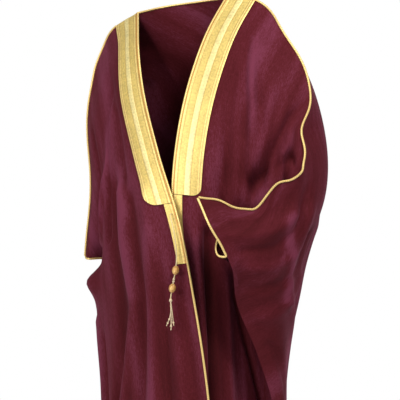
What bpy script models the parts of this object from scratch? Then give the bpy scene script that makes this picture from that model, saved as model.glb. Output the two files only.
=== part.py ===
"""A bisht: a wide wool cloak with gold bands, worn open and held closed at the waist.

The cloth is cut as two fronts and a back. One seam along the shoulders and the tops of the
sleeves joins them, and under each cuff the cloth folds round from front to back. Each panel is
a thin wall lofted from a table of lines that run down the cloth. Metres, +Z up, the front
faces -Y. The origin is the point on the shoulder line between the neck and the arms.
"""
import math

import bmesh
import bpy
import numpy as np

# Cloth and trimming sizes, in metres
CLOTH = 0.002
HALF_SEAM_GAP = 0.00025
SEAT = 0.0003
BRAID = 0.001
BAND_WIDTH = 0.066
STRIP_WIDTH = 0.022
PIPING_RADIUS = 0.0023
PIPING_SIDES = 6
CUFF_CORNER = 0.018
CUFF_SEATS = {"right": 0.0004, "left": 0.0015}
CORNER_GAP = 0.001

# How far each trimming stops short of its neighbour, as a share of its first or last stretch
EDGE_TRIM = 0.15
NECK_TRIM = 0.5
SEAM_NECK_TRIM = 0.1
SEAM_CUFF_TRIM = 0.2
STRIP_TRIM = 0.02

# The whole cloak's drop
HEM_HEIGHT = -1.40
FULL_DROP = 1.40

# Where the lines down the cloth have their points: a share of the way from seam to hem
STATIONS = (0.0, 0.06, 0.13, 0.25, 0.36, 0.50, 0.72, 1.0)
CUFF_STATION = 0.13
BAND_END = 0.34
STRIP_END = 0.435

# Rows of the grid between the stations, and columns across a front and round the neck
ROWS_ABOVE_CUFF = 4
ROWS_TO_BAND_END = 4
ROWS_BESIDE_STRIP = 2
ROWS_TO_HEM = 11
COLUMNS_IN_STRIP = 1
COLUMNS_IN_BAND = 3
COLUMNS_RIGHT = 21
COLUMNS_LEFT = 24
COLUMNS_NECK = 8

# Lines down the right front, from the front edge round to the cuff and the side fold.
# Columns: height at the seam, height at the cuff station, then x, y at each station.
RIGHT_FRONT = {
    "front edge": (-0.018, -0.198, (-0.137, -0.035), (-0.103, -0.100), (-0.077, -0.130),
                   (-0.010, -0.178), (0.055, -0.208), (0.092, -0.203), (0.135, -0.195),
                   (0.165, -0.200)),
    "breast": (-0.036, -0.213, (-0.175, -0.022), (-0.166, -0.078), (-0.148, -0.112),
               (-0.072, -0.168), (-0.018, -0.202), (0.016, -0.196), (0.044, -0.187),
               (0.066, -0.195)),
    "chest side": (-0.084, -0.255, (-0.232, 0.0), (-0.216, -0.055), (-0.182, -0.088),
                   (-0.124, -0.142), (-0.090, -0.172), (-0.068, -0.166), (-0.053, -0.162),
                   (-0.045, -0.168)),
    "arm front": (-0.190, -0.347, (-0.277, -0.010), (-0.244, -0.056), (-0.208, -0.084),
                  (-0.182, -0.108), (-0.170, -0.116), (-0.158, -0.112), (-0.149, -0.108),
                  (-0.142, -0.116)),
    "forearm": (-0.408, -0.537, (-0.289, -0.015), (-0.264, -0.050), (-0.218, -0.064),
                (-0.222, -0.064), (-0.226, -0.056), (-0.219, -0.048), (-0.214, -0.045),
                (-0.207, -0.052)),
    "cuff": (-0.607, -0.615, (-0.292, -0.020), (-0.270, -0.044), (-0.238, 0.0),
             (-0.270, 0.006), (-0.266, 0.003), (-0.250, 0.0), (-0.242, 0.0), (-0.240, 0.0)),
}

# Lines down the left front. Its sleeve is bent across the waist, seam on top.
LEFT_FRONT = {
    "front edge": (0.012, -0.172, (0.094, -0.018), (0.070, -0.072), (0.050, -0.115),
                   (0.032, -0.163), (0.034, -0.190), (0.050, -0.180), (0.070, -0.172),
                   (0.090, -0.178)),
    "breast": (0.0, -0.182, (0.155, 0.0), (0.138, -0.056), (0.120, -0.100),
               (0.096, -0.152), (0.088, -0.178), (0.100, -0.168), (0.118, -0.158),
               (0.135, -0.165)),
    "chest side": (-0.072, -0.245, (0.236, -0.020), (0.212, -0.075), (0.189, -0.110),
                   (0.160, -0.130), (0.135, -0.118), (0.128, -0.098), (0.140, -0.100),
                   (0.150, -0.115)),
    "arm front": (-0.192, -0.350, (0.301, -0.042), (0.276, -0.088), (0.245, -0.112),
                  (0.198, -0.098), (0.178, -0.062), (0.165, -0.045), (0.165, -0.055),
                  (0.170, -0.065)),
    "elbow": (-0.405, -0.540, (0.302, -0.100), (0.262, -0.098), (0.238, -0.068),
              (0.236, -0.035), (0.226, -0.015), (0.208, -0.005), (0.198, -0.010),
              (0.200, -0.020)),
    "forearm": (-0.489, -0.607, (0.205, -0.205), (0.190, -0.160), (0.205, -0.135),
                (0.226, -0.092), (0.235, -0.060), (0.232, -0.035), (0.226, -0.035),
                (0.225, -0.045)),
    "cuff": (-0.465, -0.590, (0.133, -0.265), (0.140, -0.208), (0.193, -0.240),
             (0.186, -0.176), (0.211, -0.120), (0.239, -0.068), (0.250, -0.050),
             (0.254, -0.050)),
}

# Lines down the back from the same points of the seam, the first station being on it
RIGHT_BACK = {
    "front edge": ((-0.125, 0.062), (-0.104, 0.128), (-0.085, 0.162), (-0.078, 0.176),
                   (-0.072, 0.186), (-0.066, 0.194), (-0.066, 0.204)),
    "breast": ((-0.172, 0.062), (-0.150, 0.120), (-0.130, 0.154), (-0.118, 0.168),
               (-0.108, 0.178), (-0.100, 0.186), (-0.100, 0.196)),
    "chest side": ((-0.238, 0.065), (-0.214, 0.112), (-0.182, 0.144), (-0.162, 0.160),
                   (-0.150, 0.168), (-0.140, 0.174), (-0.140, 0.184)),
    "arm front": ((-0.292, 0.048), (-0.278, 0.095), (-0.250, 0.122), (-0.232, 0.132),
                  (-0.214, 0.140), (-0.200, 0.146), (-0.200, 0.155)),
    "forearm": ((-0.308, 0.030), (-0.290, 0.080), (-0.262, 0.090), (-0.256, 0.088),
                (-0.246, 0.088), (-0.236, 0.090), (-0.234, 0.094)),
    "cuff": ((-0.300, 0.034), (-0.238, 0.0), (-0.270, 0.006), (-0.266, 0.003),
             (-0.250, 0.0), (-0.242, 0.0), (-0.240, 0.0)),
}
LEFT_BACK = {
    "front edge": ((0.088, 0.066), (0.080, 0.128), (0.070, 0.162), (0.066, 0.176),
                   (0.062, 0.186), (0.058, 0.194), (0.058, 0.204)),
    "breast": ((0.152, 0.074), (0.138, 0.124), (0.122, 0.156), (0.110, 0.170),
               (0.102, 0.179), (0.097, 0.186), (0.097, 0.196)),
    "chest side": ((0.246, 0.056), (0.230, 0.106), (0.202, 0.140), (0.178, 0.152),
                   (0.158, 0.158), (0.146, 0.166), (0.144, 0.176)),
    "arm front": ((0.311, 0.022), (0.300, 0.078), (0.260, 0.106), (0.230, 0.114),
                  (0.200, 0.118), (0.184, 0.130), (0.182, 0.140)),
    "elbow": ((0.328, -0.030), (0.302, 0.022), (0.264, 0.046), (0.234, 0.054),
              (0.216, 0.062), (0.212, 0.072), (0.212, 0.078)),
    "forearm": ((0.244, -0.202), (0.264, -0.172), (0.258, -0.128), (0.256, -0.088),
                (0.254, -0.044), (0.256, -0.014), (0.258, -0.006)),
    "cuff": ((0.164, -0.272), (0.193, -0.240), (0.186, -0.176), (0.211, -0.120),
             (0.239, -0.068), (0.250, -0.050), (0.254, -0.050)),
}
# Lines down the back from the neck edge, with the same columns as the front's
BACK_NECK = {
    "right of neck": (0.005, -0.172, (-0.104, 0.038), (-0.080, 0.088), (-0.060, 0.134),
                      (-0.046, 0.164), (-0.041, 0.178), (-0.037, 0.188), (-0.033, 0.196),
                      (-0.033, 0.206)),
    "middle": (0.018, -0.165, (-0.022, 0.074), (-0.018, 0.108), (-0.012, 0.138),
               (-0.006, 0.165), (-0.004, 0.179), (-0.002, 0.189), (0.0, 0.197), (0.0, 0.207)),
    "left of neck": (0.018, -0.166, (0.062, 0.048), (0.046, 0.094), (0.036, 0.136),
                     (0.033, 0.164), (0.031, 0.178), (0.030, 0.188), (0.029, 0.196),
                     (0.029, 0.206)),
}

# Folds: ridges where the depth is positive, troughs where it is negative. Columns: share
# across and share down where it starts, the same where it ends, width and depth in metres.
FOLD_START = 0.55
RIGHT_FRONT_FOLDS = (
    (0.34, 0.50, 0.30, 1.05, 0.034, 0.014),
    (0.46, 0.48, 0.44, 1.05, 0.026, -0.014),
    (0.60, 0.44, 0.58, 1.05, 0.034, 0.016),
    (0.74, 0.50, 0.72, 1.05, 0.026, -0.014),
    (0.88, 0.32, 0.86, 1.05, 0.034, 0.012),
)
LEFT_FRONT_FOLDS = (
    (0.36, 0.10, 0.34, 0.30, 0.024, -0.009),
    (0.50, 0.08, 0.46, 0.26, 0.022, 0.010),
    (0.66, 0.08, 0.56, 0.24, 0.022, -0.010),
    (0.34, 0.44, 0.34, 1.05, 0.020, 0.010),
    (0.50, 0.42, 0.50, 1.05, 0.024, -0.022),
    (0.72, 0.50, 0.72, 1.05, 0.026, 0.014),
)
BACK_FOLDS = (
    (0.12, 0.34, 0.13, 1.05, 0.036, 0.014),
    (0.20, 0.28, 0.21, 1.05, 0.030, -0.014),
    (0.28, 0.20, 0.29, 1.05, 0.040, 0.018),
    (0.36, 0.30, 0.37, 1.05, 0.030, -0.016),
    (0.44, 0.12, 0.44, 1.05, 0.040, 0.016),
    (0.51, 0.30, 0.51, 1.05, 0.032, -0.016),
    (0.58, 0.16, 0.58, 1.05, 0.040, 0.018),
    (0.65, 0.32, 0.65, 1.05, 0.030, -0.014),
    (0.72, 0.22, 0.72, 1.05, 0.036, 0.016),
    (0.80, 0.12, 0.79, 1.05, 0.028, -0.014),
    (0.88, 0.18, 0.86, 1.05, 0.030, 0.012),
)

# Where folds fade out. Columns: share down from the seam, then shares in from the first column
# and from the last column of the grid.
RIGHT_FRONT_HELD = (0.12, 0.20, 0.10)
LEFT_FRONT_HELD = (0.12, 0.24, 0.10)
BACK_HELD = (0.12, 0.06, 0.06)

# The tie cord, from the edge of the right strip down past two beads, and its end strands
CORD_RADIUS = 0.0014
BORE_CLEARANCE = 0.0006
CORD_ROUTE = (
    (0.0414, -0.2077, -0.4986), (0.0409, -0.2136, -0.4990), (0.0425, -0.2185, -0.5050),
    (0.0475, -0.2210, -0.5190), (0.0545, -0.2215, -0.5480), (0.0580, -0.2215, -0.5760),
    (0.0590, -0.2215, -0.6000), (0.0565, -0.2215, -0.6240), (0.0525, -0.2215, -0.6440),
    (0.0485, -0.2215, -0.6640), (0.0455, -0.2215, -0.6790), (0.0445, -0.2215, -0.6880),
)
CORD_POINTS = 34
UPPER_BEAD = 7
LOWER_BEAD = 9
BEAD_RADIUS = 0.0078
BEAD_HEIGHT = 0.019
BEAD_SIDES = 14
TASSEL_HEAD = 0.0042
TASSEL_DROP = 0.078
STRAND_RADIUS = 0.0012
KNOT_RADIUS = 0.0030
STRAND_BOW = 0.25
BEAD_SHARES = (0.0, 0.12, 0.32, 0.55, 0.78, 0.94, 1.0)
# Along a strand: share of its length, radius over the strand's own
STRAND_PROFILE = ((0.02, 1.0), (0.45, 1.0), (0.84, 1.0), (0.88, KNOT_RADIUS / STRAND_RADIUS),
                  (0.94, KNOT_RADIUS / STRAND_RADIUS), (0.97, 1.0), (1.0, 1.0))
# Where each strand ends: aside and forward in metres, then share of the full drop
STRAND_ENDS = ((-0.0120, -0.0020, 0.92), (-0.0020, -0.0045, 1.0), (0.0075, 0.0005, 0.90),
               (0.0010, 0.0040, 0.80))


def clear_scene():
    """Remove what the scene starts with."""
    for item in list(bpy.data.objects):
        bpy.data.objects.remove(item, do_unlink=True)


def make_material(name, color, roughness, metallic=0.0):
    """A plain material of one colour."""
    material = bpy.data.materials.new(name)
    material.use_nodes = True
    shader = material.node_tree.nodes["Principled BSDF"]
    shader.inputs["Base Color"].default_value = (*color, 1.0)
    shader.inputs["Roughness"].default_value = roughness
    shader.inputs["Metallic"].default_value = metallic
    return material


def unit(vectors):
    """Vectors scaled to length one."""
    lengths = np.linalg.norm(vectors, axis=-1, keepdims=True)
    return vectors / np.maximum(lengths, 1e-9)


def smooth(keys, values, places):
    """Read a smooth curve through values at keys, at other places."""
    keys = np.asarray(keys, float)
    values = np.asarray(values, float)
    steps = np.diff(keys)
    slopes = np.diff(values, axis=0) / steps[:, None]
    tangents = np.empty_like(values)
    before = steps[:-1, None]
    after = steps[1:, None]
    tangents[1:-1] = (after * slopes[:-1] + before * slopes[1:]) / (before + after)
    tangents[0] = slopes[0]
    tangents[-1] = slopes[-1]
    spans = np.clip(np.searchsorted(keys, places, side="right") - 1, 0, len(steps) - 1)
    width = steps[spans][:, None]
    t = ((places - keys[spans])[:, None]) / width
    start, end = values[spans], values[spans + 1]
    return ((2 * t**3 - 3 * t**2 + 1) * start + (t**3 - 2 * t**2 + t) * width * tangents[spans]
            + (3 * t**2 - 2 * t**3) * end + (t**3 - t**2) * width * tangents[spans + 1])


def row_shares():
    """Shares of the way down at which the grid has its rows."""
    return np.concatenate((
        np.linspace(0.0, CUFF_STATION, ROWS_ABOVE_CUFF, endpoint=False),
        np.linspace(CUFF_STATION, BAND_END, ROWS_TO_BAND_END, endpoint=False),
        np.linspace(BAND_END, STRIP_END, ROWS_BESIDE_STRIP, endpoint=False),
        np.linspace(STRIP_END, 1.0, ROWS_TO_HEM + 1)))


ROWS = row_shares()
CUFF_ROW = ROWS_ABOVE_CUFF
BAND_ROW = CUFF_ROW + ROWS_TO_BAND_END
STRIP_ROW = BAND_ROW + ROWS_BESIDE_STRIP


def line_points(seam_height, cuff_height, plan):
    """Points of one line down the cloth at every grid row."""
    shares = np.array(STATIONS)
    upper = seam_height + (cuff_height - seam_height) * shares / CUFF_STATION
    lower = cuff_height + (HEM_HEIGHT - cuff_height) * (shares - CUFF_STATION) / (1 - CUFF_STATION)
    heights = np.where(shares <= CUFF_STATION, upper, lower)
    points = np.column_stack((np.array(plan), heights))
    return smooth(shares, points, ROWS)


def front_lines(table):
    """The lines of a front panel, one after the other."""
    return np.array([line_points(row[0], row[1], row[2:]) for row in table.values()])


def back_lines(front_table, back_table):
    """The lines of one half of the back, which start on the seam with the front's."""
    lines = []
    for name, plan in back_table.items():
        front = front_table[name]
        lines.append(line_points(front[0], front[1], (front[2], *plan)))
    return np.array(lines)


def distances(points):
    """Distance run along each polyline of the last but one axis."""
    steps = np.linalg.norm(np.diff(points, axis=-2), axis=-1)
    run = np.cumsum(steps, axis=-1)
    return np.concatenate((np.zeros((*run.shape[:-1], 1)), run), axis=-1)


def front_columns(length, count):
    """Distances from the front edge: the strip, the band, then even columns."""
    strip = np.linspace(0.0, STRIP_WIDTH, COLUMNS_IN_STRIP, endpoint=False)
    band = np.linspace(STRIP_WIDTH, BAND_WIDTH, COLUMNS_IN_BAND - COLUMNS_IN_STRIP, endpoint=False)
    rest = np.linspace(BAND_WIDTH, length, count - COLUMNS_IN_BAND + 1)
    return np.concatenate((strip, band, rest))


def front_grid(table, count):
    """Grid of a front's middle surface: rows down, columns from front edge to side."""
    lines = front_lines(table)
    rows = []
    for row in range(len(ROWS)):
        across = lines[:, row]
        keys = distances(across)
        rows.append(smooth(keys, across, front_columns(keys[-1], count)))
    return np.array(rows)


def back_grid(right, left):
    """Grid of the back's middle surface: right sleeve, neck, left sleeve, with neck corners."""
    right_lines = back_lines(RIGHT_FRONT, RIGHT_BACK)[::-1]
    left_lines = back_lines(LEFT_FRONT, LEFT_BACK)
    neck_lines = np.concatenate((right_lines[-1:], front_lines(BACK_NECK), left_lines[:1]))
    right_share = 1 - distances(right[0])[::-1] / distances(right[0])[-1]
    left_share = distances(left[0]) / distances(left[0])[-1]
    neck_share = np.linspace(0.0, 1.0, COLUMNS_NECK + 1)[1:-1]
    stretches = ((right_lines, right_share), (neck_lines, neck_share), (left_lines, left_share))
    rows = []
    for row in range(len(ROWS)):
        across = []
        for lines, shares in stretches:
            keys = distances(lines[:, row])
            across.append(smooth(keys, lines[:, row], keys[-1] * shares))
        rows.append(np.concatenate(across))
    return np.array(rows)


def normals(grid, side):
    """Outward normals of a grid; side is 1 or -1, by the way that its columns run."""
    cells = unit(np.cross(grid[1:, 1:] - grid[:-1, :-1], grid[1:, :-1] - grid[:-1, 1:]))
    total = np.zeros_like(grid)
    total[:-1, :-1] += cells
    total[:-1, 1:] += cells
    total[1:, :-1] += cells
    total[1:, 1:] += cells
    return side * unit(total)


def add_folds(grid, folds, side, held):
    """Push ridges and troughs along the normals, fading out at the edges that are held."""
    shares = distances(grid)
    width = shares[:, -1].mean()
    shares = shares / shares[:, -1:]
    down = np.repeat(ROWS[:, None], grid.shape[1], axis=1)
    push = np.zeros(grid.shape[:2])
    for start_across, start_down, end_across, end_down, breadth, depth in folds:
        run = np.array(((end_across - start_across) * width, (end_down - start_down) * FULL_DROP))
        place = np.stack(((shares - start_across) * width, (down - start_down) * FULL_DROP), -1)
        along = np.clip(place @ run / (run @ run), 0.0, 1.0)
        away = np.linalg.norm(place - along[..., None] * run, axis=-1)
        growth = FOLD_START + (1 - FOLD_START) * along
        push += depth * growth * np.exp(-(away / breadth)**2)
    fade = np.clip(down / held[0], 0.0, 1.0)
    fade *= np.clip(shares / held[1], 0.0, 1.0) * np.clip((1 - shares) / held[2], 0.0, 1.0)
    fade = fade * fade * (3 - 2 * fade)
    return grid + normals(grid, side) * (push * fade)[..., None]


def outward(joint, front_next, back_next, front_normal, back_normal):
    """The way out of a seam or fold, between the two panels that meet there."""
    middle = front_normal + back_normal
    edge = 2 * joint - front_next - back_next
    reach = 0.5 * (np.linalg.norm(front_next - joint, axis=-1, keepdims=True)
                   + np.linalg.norm(back_next - joint, axis=-1, keepdims=True))
    edge = edge / np.maximum(reach, 1e-6)
    agree = np.sum(middle * edge, axis=-1, keepdims=True)
    weight = np.clip(agree + 1.0 - np.linalg.norm(middle, axis=-1, keepdims=True) * 0.5, 0.0, 1.0)
    return unit(middle + edge * weight)


def across_seam(joint, following, way_out):
    """Direction from the seam into one panel, square to the seam and to the way out."""
    along = np.gradient(joint, axis=0)
    into = np.cross(way_out, unit(along))
    facing = np.sign(np.sum(into * (following - joint), axis=-1, keepdims=True))
    return unit(into) * facing


def meet(front, back, front_line, back_line, front_next, back_next, below_cuff=False):
    """Part two panels at a shared line by the seam gap, and tilt both walls alike there."""
    joint = front["middle"][front_line]
    inner_front = front["middle"][front_next]
    inner_back = back["middle"][back_next]
    way_out = outward(joint, inner_front, inner_back,
                      front["out"][front_line], back["out"][back_line])
    gap = np.full((len(joint), 1), HALF_SEAM_GAP)
    if below_cuff:
        gap[0] = CORNER_GAP
        way_out[0] = way_out[1]
        way_out[1:-1] = unit(way_out[:-2] + 2 * way_out[1:-1] + way_out[2:])
    front["middle"][front_line] = joint + gap * across_seam(joint, inner_front, way_out)
    back["middle"][back_line] = joint + gap * across_seam(joint, inner_back, way_out)
    if below_cuff:
        corner = front["out"][front_line][0] + back["out"][back_line][0]
        way_out[0] = unit(corner + np.array((0.0, 0.0, -1.0)))
    front["out"][front_line] = way_out
    back["out"][back_line] = way_out


def build_panels():
    """The three panels as middle surfaces with outward directions."""
    right = front_grid(RIGHT_FRONT, COLUMNS_RIGHT)
    left = front_grid(LEFT_FRONT, COLUMNS_LEFT)
    back = back_grid(right, left)
    right = add_folds(right, RIGHT_FRONT_FOLDS, 1, RIGHT_FRONT_HELD)
    left = add_folds(left, LEFT_FRONT_FOLDS, -1, LEFT_FRONT_HELD)
    back = add_folds(back, BACK_FOLDS, 1, BACK_HELD)
    right_neck = COLUMNS_RIGHT
    left_neck = COLUMNS_RIGHT + COLUMNS_NECK
    back[0, :right_neck + 1] = right[0, ::-1]
    back[0, left_neck:] = left[0]
    back[CUFF_ROW:, 0] = right[CUFF_ROW:, -1]
    back[CUFF_ROW:, -1] = left[CUFF_ROW:, -1]
    panels = {
        "right": {"middle": right, "out": normals(right, 1)},
        "left": {"middle": left, "out": normals(left, -1)},
        "back": {"middle": back, "out": normals(back, 1)},
    }
    low = slice(CUFF_ROW, None)
    meet(panels["right"], panels["back"], (low, -1), (low, 0), (low, -2), (low, 1), True)
    meet(panels["left"], panels["back"], (low, -1), (low, -1), (low, -2), (low, -2), True)
    seam_right = slice(right_neck, None, -1)
    meet(panels["right"], panels["back"], (0, slice(None)), (0, seam_right),
         (1, slice(None)), (1, seam_right))
    seam_left = slice(left_neck, None)
    meet(panels["left"], panels["back"], (0, slice(None)), (0, seam_left),
         (1, slice(None)), (1, seam_left))
    return panels


def add_mesh(name, vertices, faces, material):
    """A closed mesh object whose faces point out."""
    mesh = bpy.data.meshes.new(name)
    mesh.from_pydata([tuple(map(float, point)) for point in vertices], [], faces)
    shape = bmesh.new()
    shape.from_mesh(mesh)
    bmesh.ops.recalc_face_normals(shape, faces=shape.faces)
    shape.to_mesh(mesh)
    shape.free()
    mesh.materials.append(material)
    item = bpy.data.objects.new(name, mesh)
    bpy.context.scene.collection.objects.link(item)
    return item


def add_wall(name, panel, rows, columns, low, high, material):
    """A wall over part of a panel, between two distances out from its middle surface."""
    middle = panel["middle"][rows, columns]
    out = panel["out"][rows, columns]
    height, width = middle.shape[:2]
    vertices = np.concatenate(((middle + out * low).reshape(-1, 3),
                               (middle + out * high).reshape(-1, 3)))
    count = height * width
    faces = []
    for row in range(height - 1):
        for column in range(width - 1):
            a = row * width + column
            b, c, d = a + 1, a + width + 1, a + width
            faces += [(a, b, c), (a, c, d), (a + count, c + count, b + count),
                      (a + count, d + count, c + count)]
    rim = list(range(width))
    rim += [row * width + width - 1 for row in range(1, height)]
    rim += [(height - 1) * width + column for column in range(width - 2, -1, -1)]
    rim += [row * width for row in range(height - 2, 0, -1)]
    for here, there in zip(rim, rim[1:] + rim[:1]):
        faces += [(here, here + count, there + count), (here, there + count, there)]
    return add_mesh(name, vertices, faces, material)


def add_tube(name, path, radius, material, closed=False, sides=PIPING_SIDES):
    """A tube of flat-sided section along a path, with flat ends unless it is closed."""
    path = np.asarray(path, float)
    if closed:
        along = unit(np.roll(path, -1, axis=0) - np.roll(path, 1, axis=0))
    else:
        along = unit(np.gradient(path, axis=0))
    side = unit(np.cross(along[0], (0.31, 0.59, 0.74)))
    vertices = []
    for point, direction in zip(path, along):
        side = unit(side - direction * (side @ direction))
        other = np.cross(direction, side)
        for step in range(sides):
            angle = 2 * math.pi * step / sides
            vertices.append(point + radius * (math.cos(angle) * side + math.sin(angle) * other))
    faces = []
    rings = len(path)
    for ring in range(rings if closed else rings - 1):
        following = (ring + 1) % rings
        turn = 0
        if closed and following == 0:
            first = np.array(vertices[:sides])
            last = np.array(vertices[-sides:])
            turn = int(np.argmin([np.linalg.norm(last - np.roll(first, -k, axis=0))
                                  for k in range(sides)]))
        for step in range(sides):
            a = ring * sides + step
            b = ring * sides + (step + 1) % sides
            c = following * sides + (step + 1 + turn) % sides
            d = following * sides + (step + turn) % sides
            faces += [(a, b, c), (a, c, d)]
    if not closed:
        faces.append(tuple(range(sides)))
        faces.append(tuple(range((rings - 1) * sides, rings * sides)))
    return add_mesh(name, vertices, faces, material)


def edge_path(panel, line, inner_line, seat=SEAT):
    """The middle of a piping that is sewn on along a panel's free edge."""
    edge = panel["middle"][line]
    inward = panel["middle"][inner_line] - edge
    along = unit(np.gradient(edge, axis=0))
    inward = unit(inward - along * np.sum(inward * along, axis=-1, keepdims=True))
    lean = np.abs(np.sum(panel["out"][line] * inward, axis=-1, keepdims=True))
    return edge - inward * (PIPING_RADIUS + seat + lean * CLOTH / 2)


def seam_path(panel):
    """The middle of the piping that covers the shoulder and sleeve seam."""
    lift = CLOTH / 2 + SEAT + PIPING_RADIUS
    path = panel["middle"][0, COLUMNS_IN_BAND:] + panel["out"][0, COLUMNS_IN_BAND:] * lift
    path[0] = path[0] + SEAM_NECK_TRIM * (path[1] - path[0])
    path[-1] = path[-1] + SEAM_CUFF_TRIM * (path[-2] - path[-1])
    return path


def cuff_path(front, back, back_line, back_inner, seat):
    """The middle of the piping round a cuff, down the front half and up the back half."""
    rows = slice(0, CUFF_ROW + 1)
    down = edge_path(front, (rows, -1), (rows, -2), seat)
    rise = edge_path(back, (rows, back_line), (rows, back_inner), seat)
    top = 0.5 * (down[0] + rise[0])
    joint = 0.5 * (front["middle"][CUFF_ROW, -1] + back["middle"][CUFF_ROW, back_line])
    bottom = joint + unit(0.5 * (down[-2] + rise[-2]) - joint) * CUFF_CORNER
    return np.concatenate((top[None], down[1:-1], bottom[None], rise[-2:0:-1]))


def add_bead(name, point, material):
    """A turned bead with a bore for the cord, in line with the cord at a point of its route."""
    route = np.array(CORD_ROUTE)
    place = route[point]
    axis = unit(route[point - 1] - route[point + 1])
    side = unit(np.cross(axis, (0.0, 1.0, 0.0)))
    other = np.cross(axis, side)
    bore = CORD_RADIUS + BORE_CLEARANCE
    rings = []
    for share in BEAD_SHARES:
        swell = math.sin(math.pi * (0.12 + 0.76 * share)) ** 0.8
        rings.append((BEAD_RADIUS * swell, BEAD_HEIGHT * (0.5 - share)))
    profile = [(bore, BEAD_HEIGHT * 0.5)] + rings + [(bore, -BEAD_HEIGHT * 0.5)]
    vertices = []
    for radius, height in profile:
        for step in range(BEAD_SIDES):
            angle = 2 * math.pi * step / BEAD_SIDES
            vertices.append(place + axis * height
                            + radius * (math.cos(angle) * side + math.sin(angle) * other))
    faces = []
    count = len(profile)
    for ring in range(count):
        following = (ring + 1) % count
        for step in range(BEAD_SIDES):
            nxt = (step + 1) % BEAD_SIDES
            faces.append((ring * BEAD_SIDES + step, ring * BEAD_SIDES + nxt,
                          following * BEAD_SIDES + nxt, following * BEAD_SIDES + step))
    return add_mesh(name, vertices, faces, material)


def cord_points():
    """The cord's route, read evenly from a smooth curve through its points."""
    route = np.array(CORD_ROUTE)
    keys = distances(route)
    return smooth(keys, route, np.linspace(0.0, keys[-1], CORD_POINTS))


def add_cord(name, material):
    """The tie cord as a thin tube."""
    curve = bpy.data.curves.new(name, "CURVE")
    curve.dimensions = "3D"
    curve.bevel_depth = CORD_RADIUS
    curve.bevel_resolution = 2
    curve.use_fill_caps = True
    points = cord_points()
    spline = curve.splines.new("POLY")
    spline.points.add(len(points) - 1)
    for target, point in zip(spline.points, points):
        target.co = (*point, 1.0)
    curve.materials.append(material)
    item = bpy.data.objects.new(name, curve)
    bpy.context.scene.collection.objects.link(item)
    return item


def add_tassel(name, top, material):
    """A knotted head with end strands, each with a knot near its tip, as one body."""
    shape = bmesh.new()
    centre = np.array(top) - np.array((0.0, 0.0, TASSEL_HEAD))
    bmesh.ops.create_icosphere(shape, subdivisions=1, radius=TASSEL_HEAD)
    bmesh.ops.translate(shape, verts=shape.verts, vec=tuple(centre))
    mesh = bpy.data.meshes.new(name)
    shape.to_mesh(mesh)
    shape.free()
    mesh.materials.append(material)
    head = bpy.data.objects.new(name, mesh)
    bpy.context.scene.collection.objects.link(head)
    for index, (aside, forward, share) in enumerate(STRAND_ENDS):
        end = centre + np.array((aside, forward, -TASSEL_DROP * share))
        cutter = add_strand(f"strand_{index}", centre, end, material)
        union = head.modifiers.new(cutter.name, "BOOLEAN")
        union.operation = "UNION"
        union.object = cutter
    return head


def add_strand(name, start, end, material):
    """One strand with a knot near its tip, from inside the head."""
    run = end - start
    vertices = []
    for share, swell in STRAND_PROFILE:
        bow = np.array((run[0], run[1], 0.0)) * (math.sin(math.pi * share) * STRAND_BOW)
        for step in range(4):
            angle = math.pi * (0.25 + 0.5 * step)
            ring = np.array((math.cos(angle), math.sin(angle), 0.0)) * STRAND_RADIUS * swell
            vertices.append(start + run * share + bow + ring)
    faces = [(0, 1, 2, 3), tuple(range(len(vertices) - 4, len(vertices)))]
    for ring in range(0, 4 * (len(STRAND_PROFILE) - 1), 4):
        for step in range(4):
            nxt = (step + 1) % 4
            faces.append((ring + step, ring + nxt, ring + 4 + nxt, ring + 4 + step))
    strand = add_mesh(name, vertices, faces, material)
    strand.hide_render = True
    strand.display_type = "WIRE"
    return strand


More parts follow.
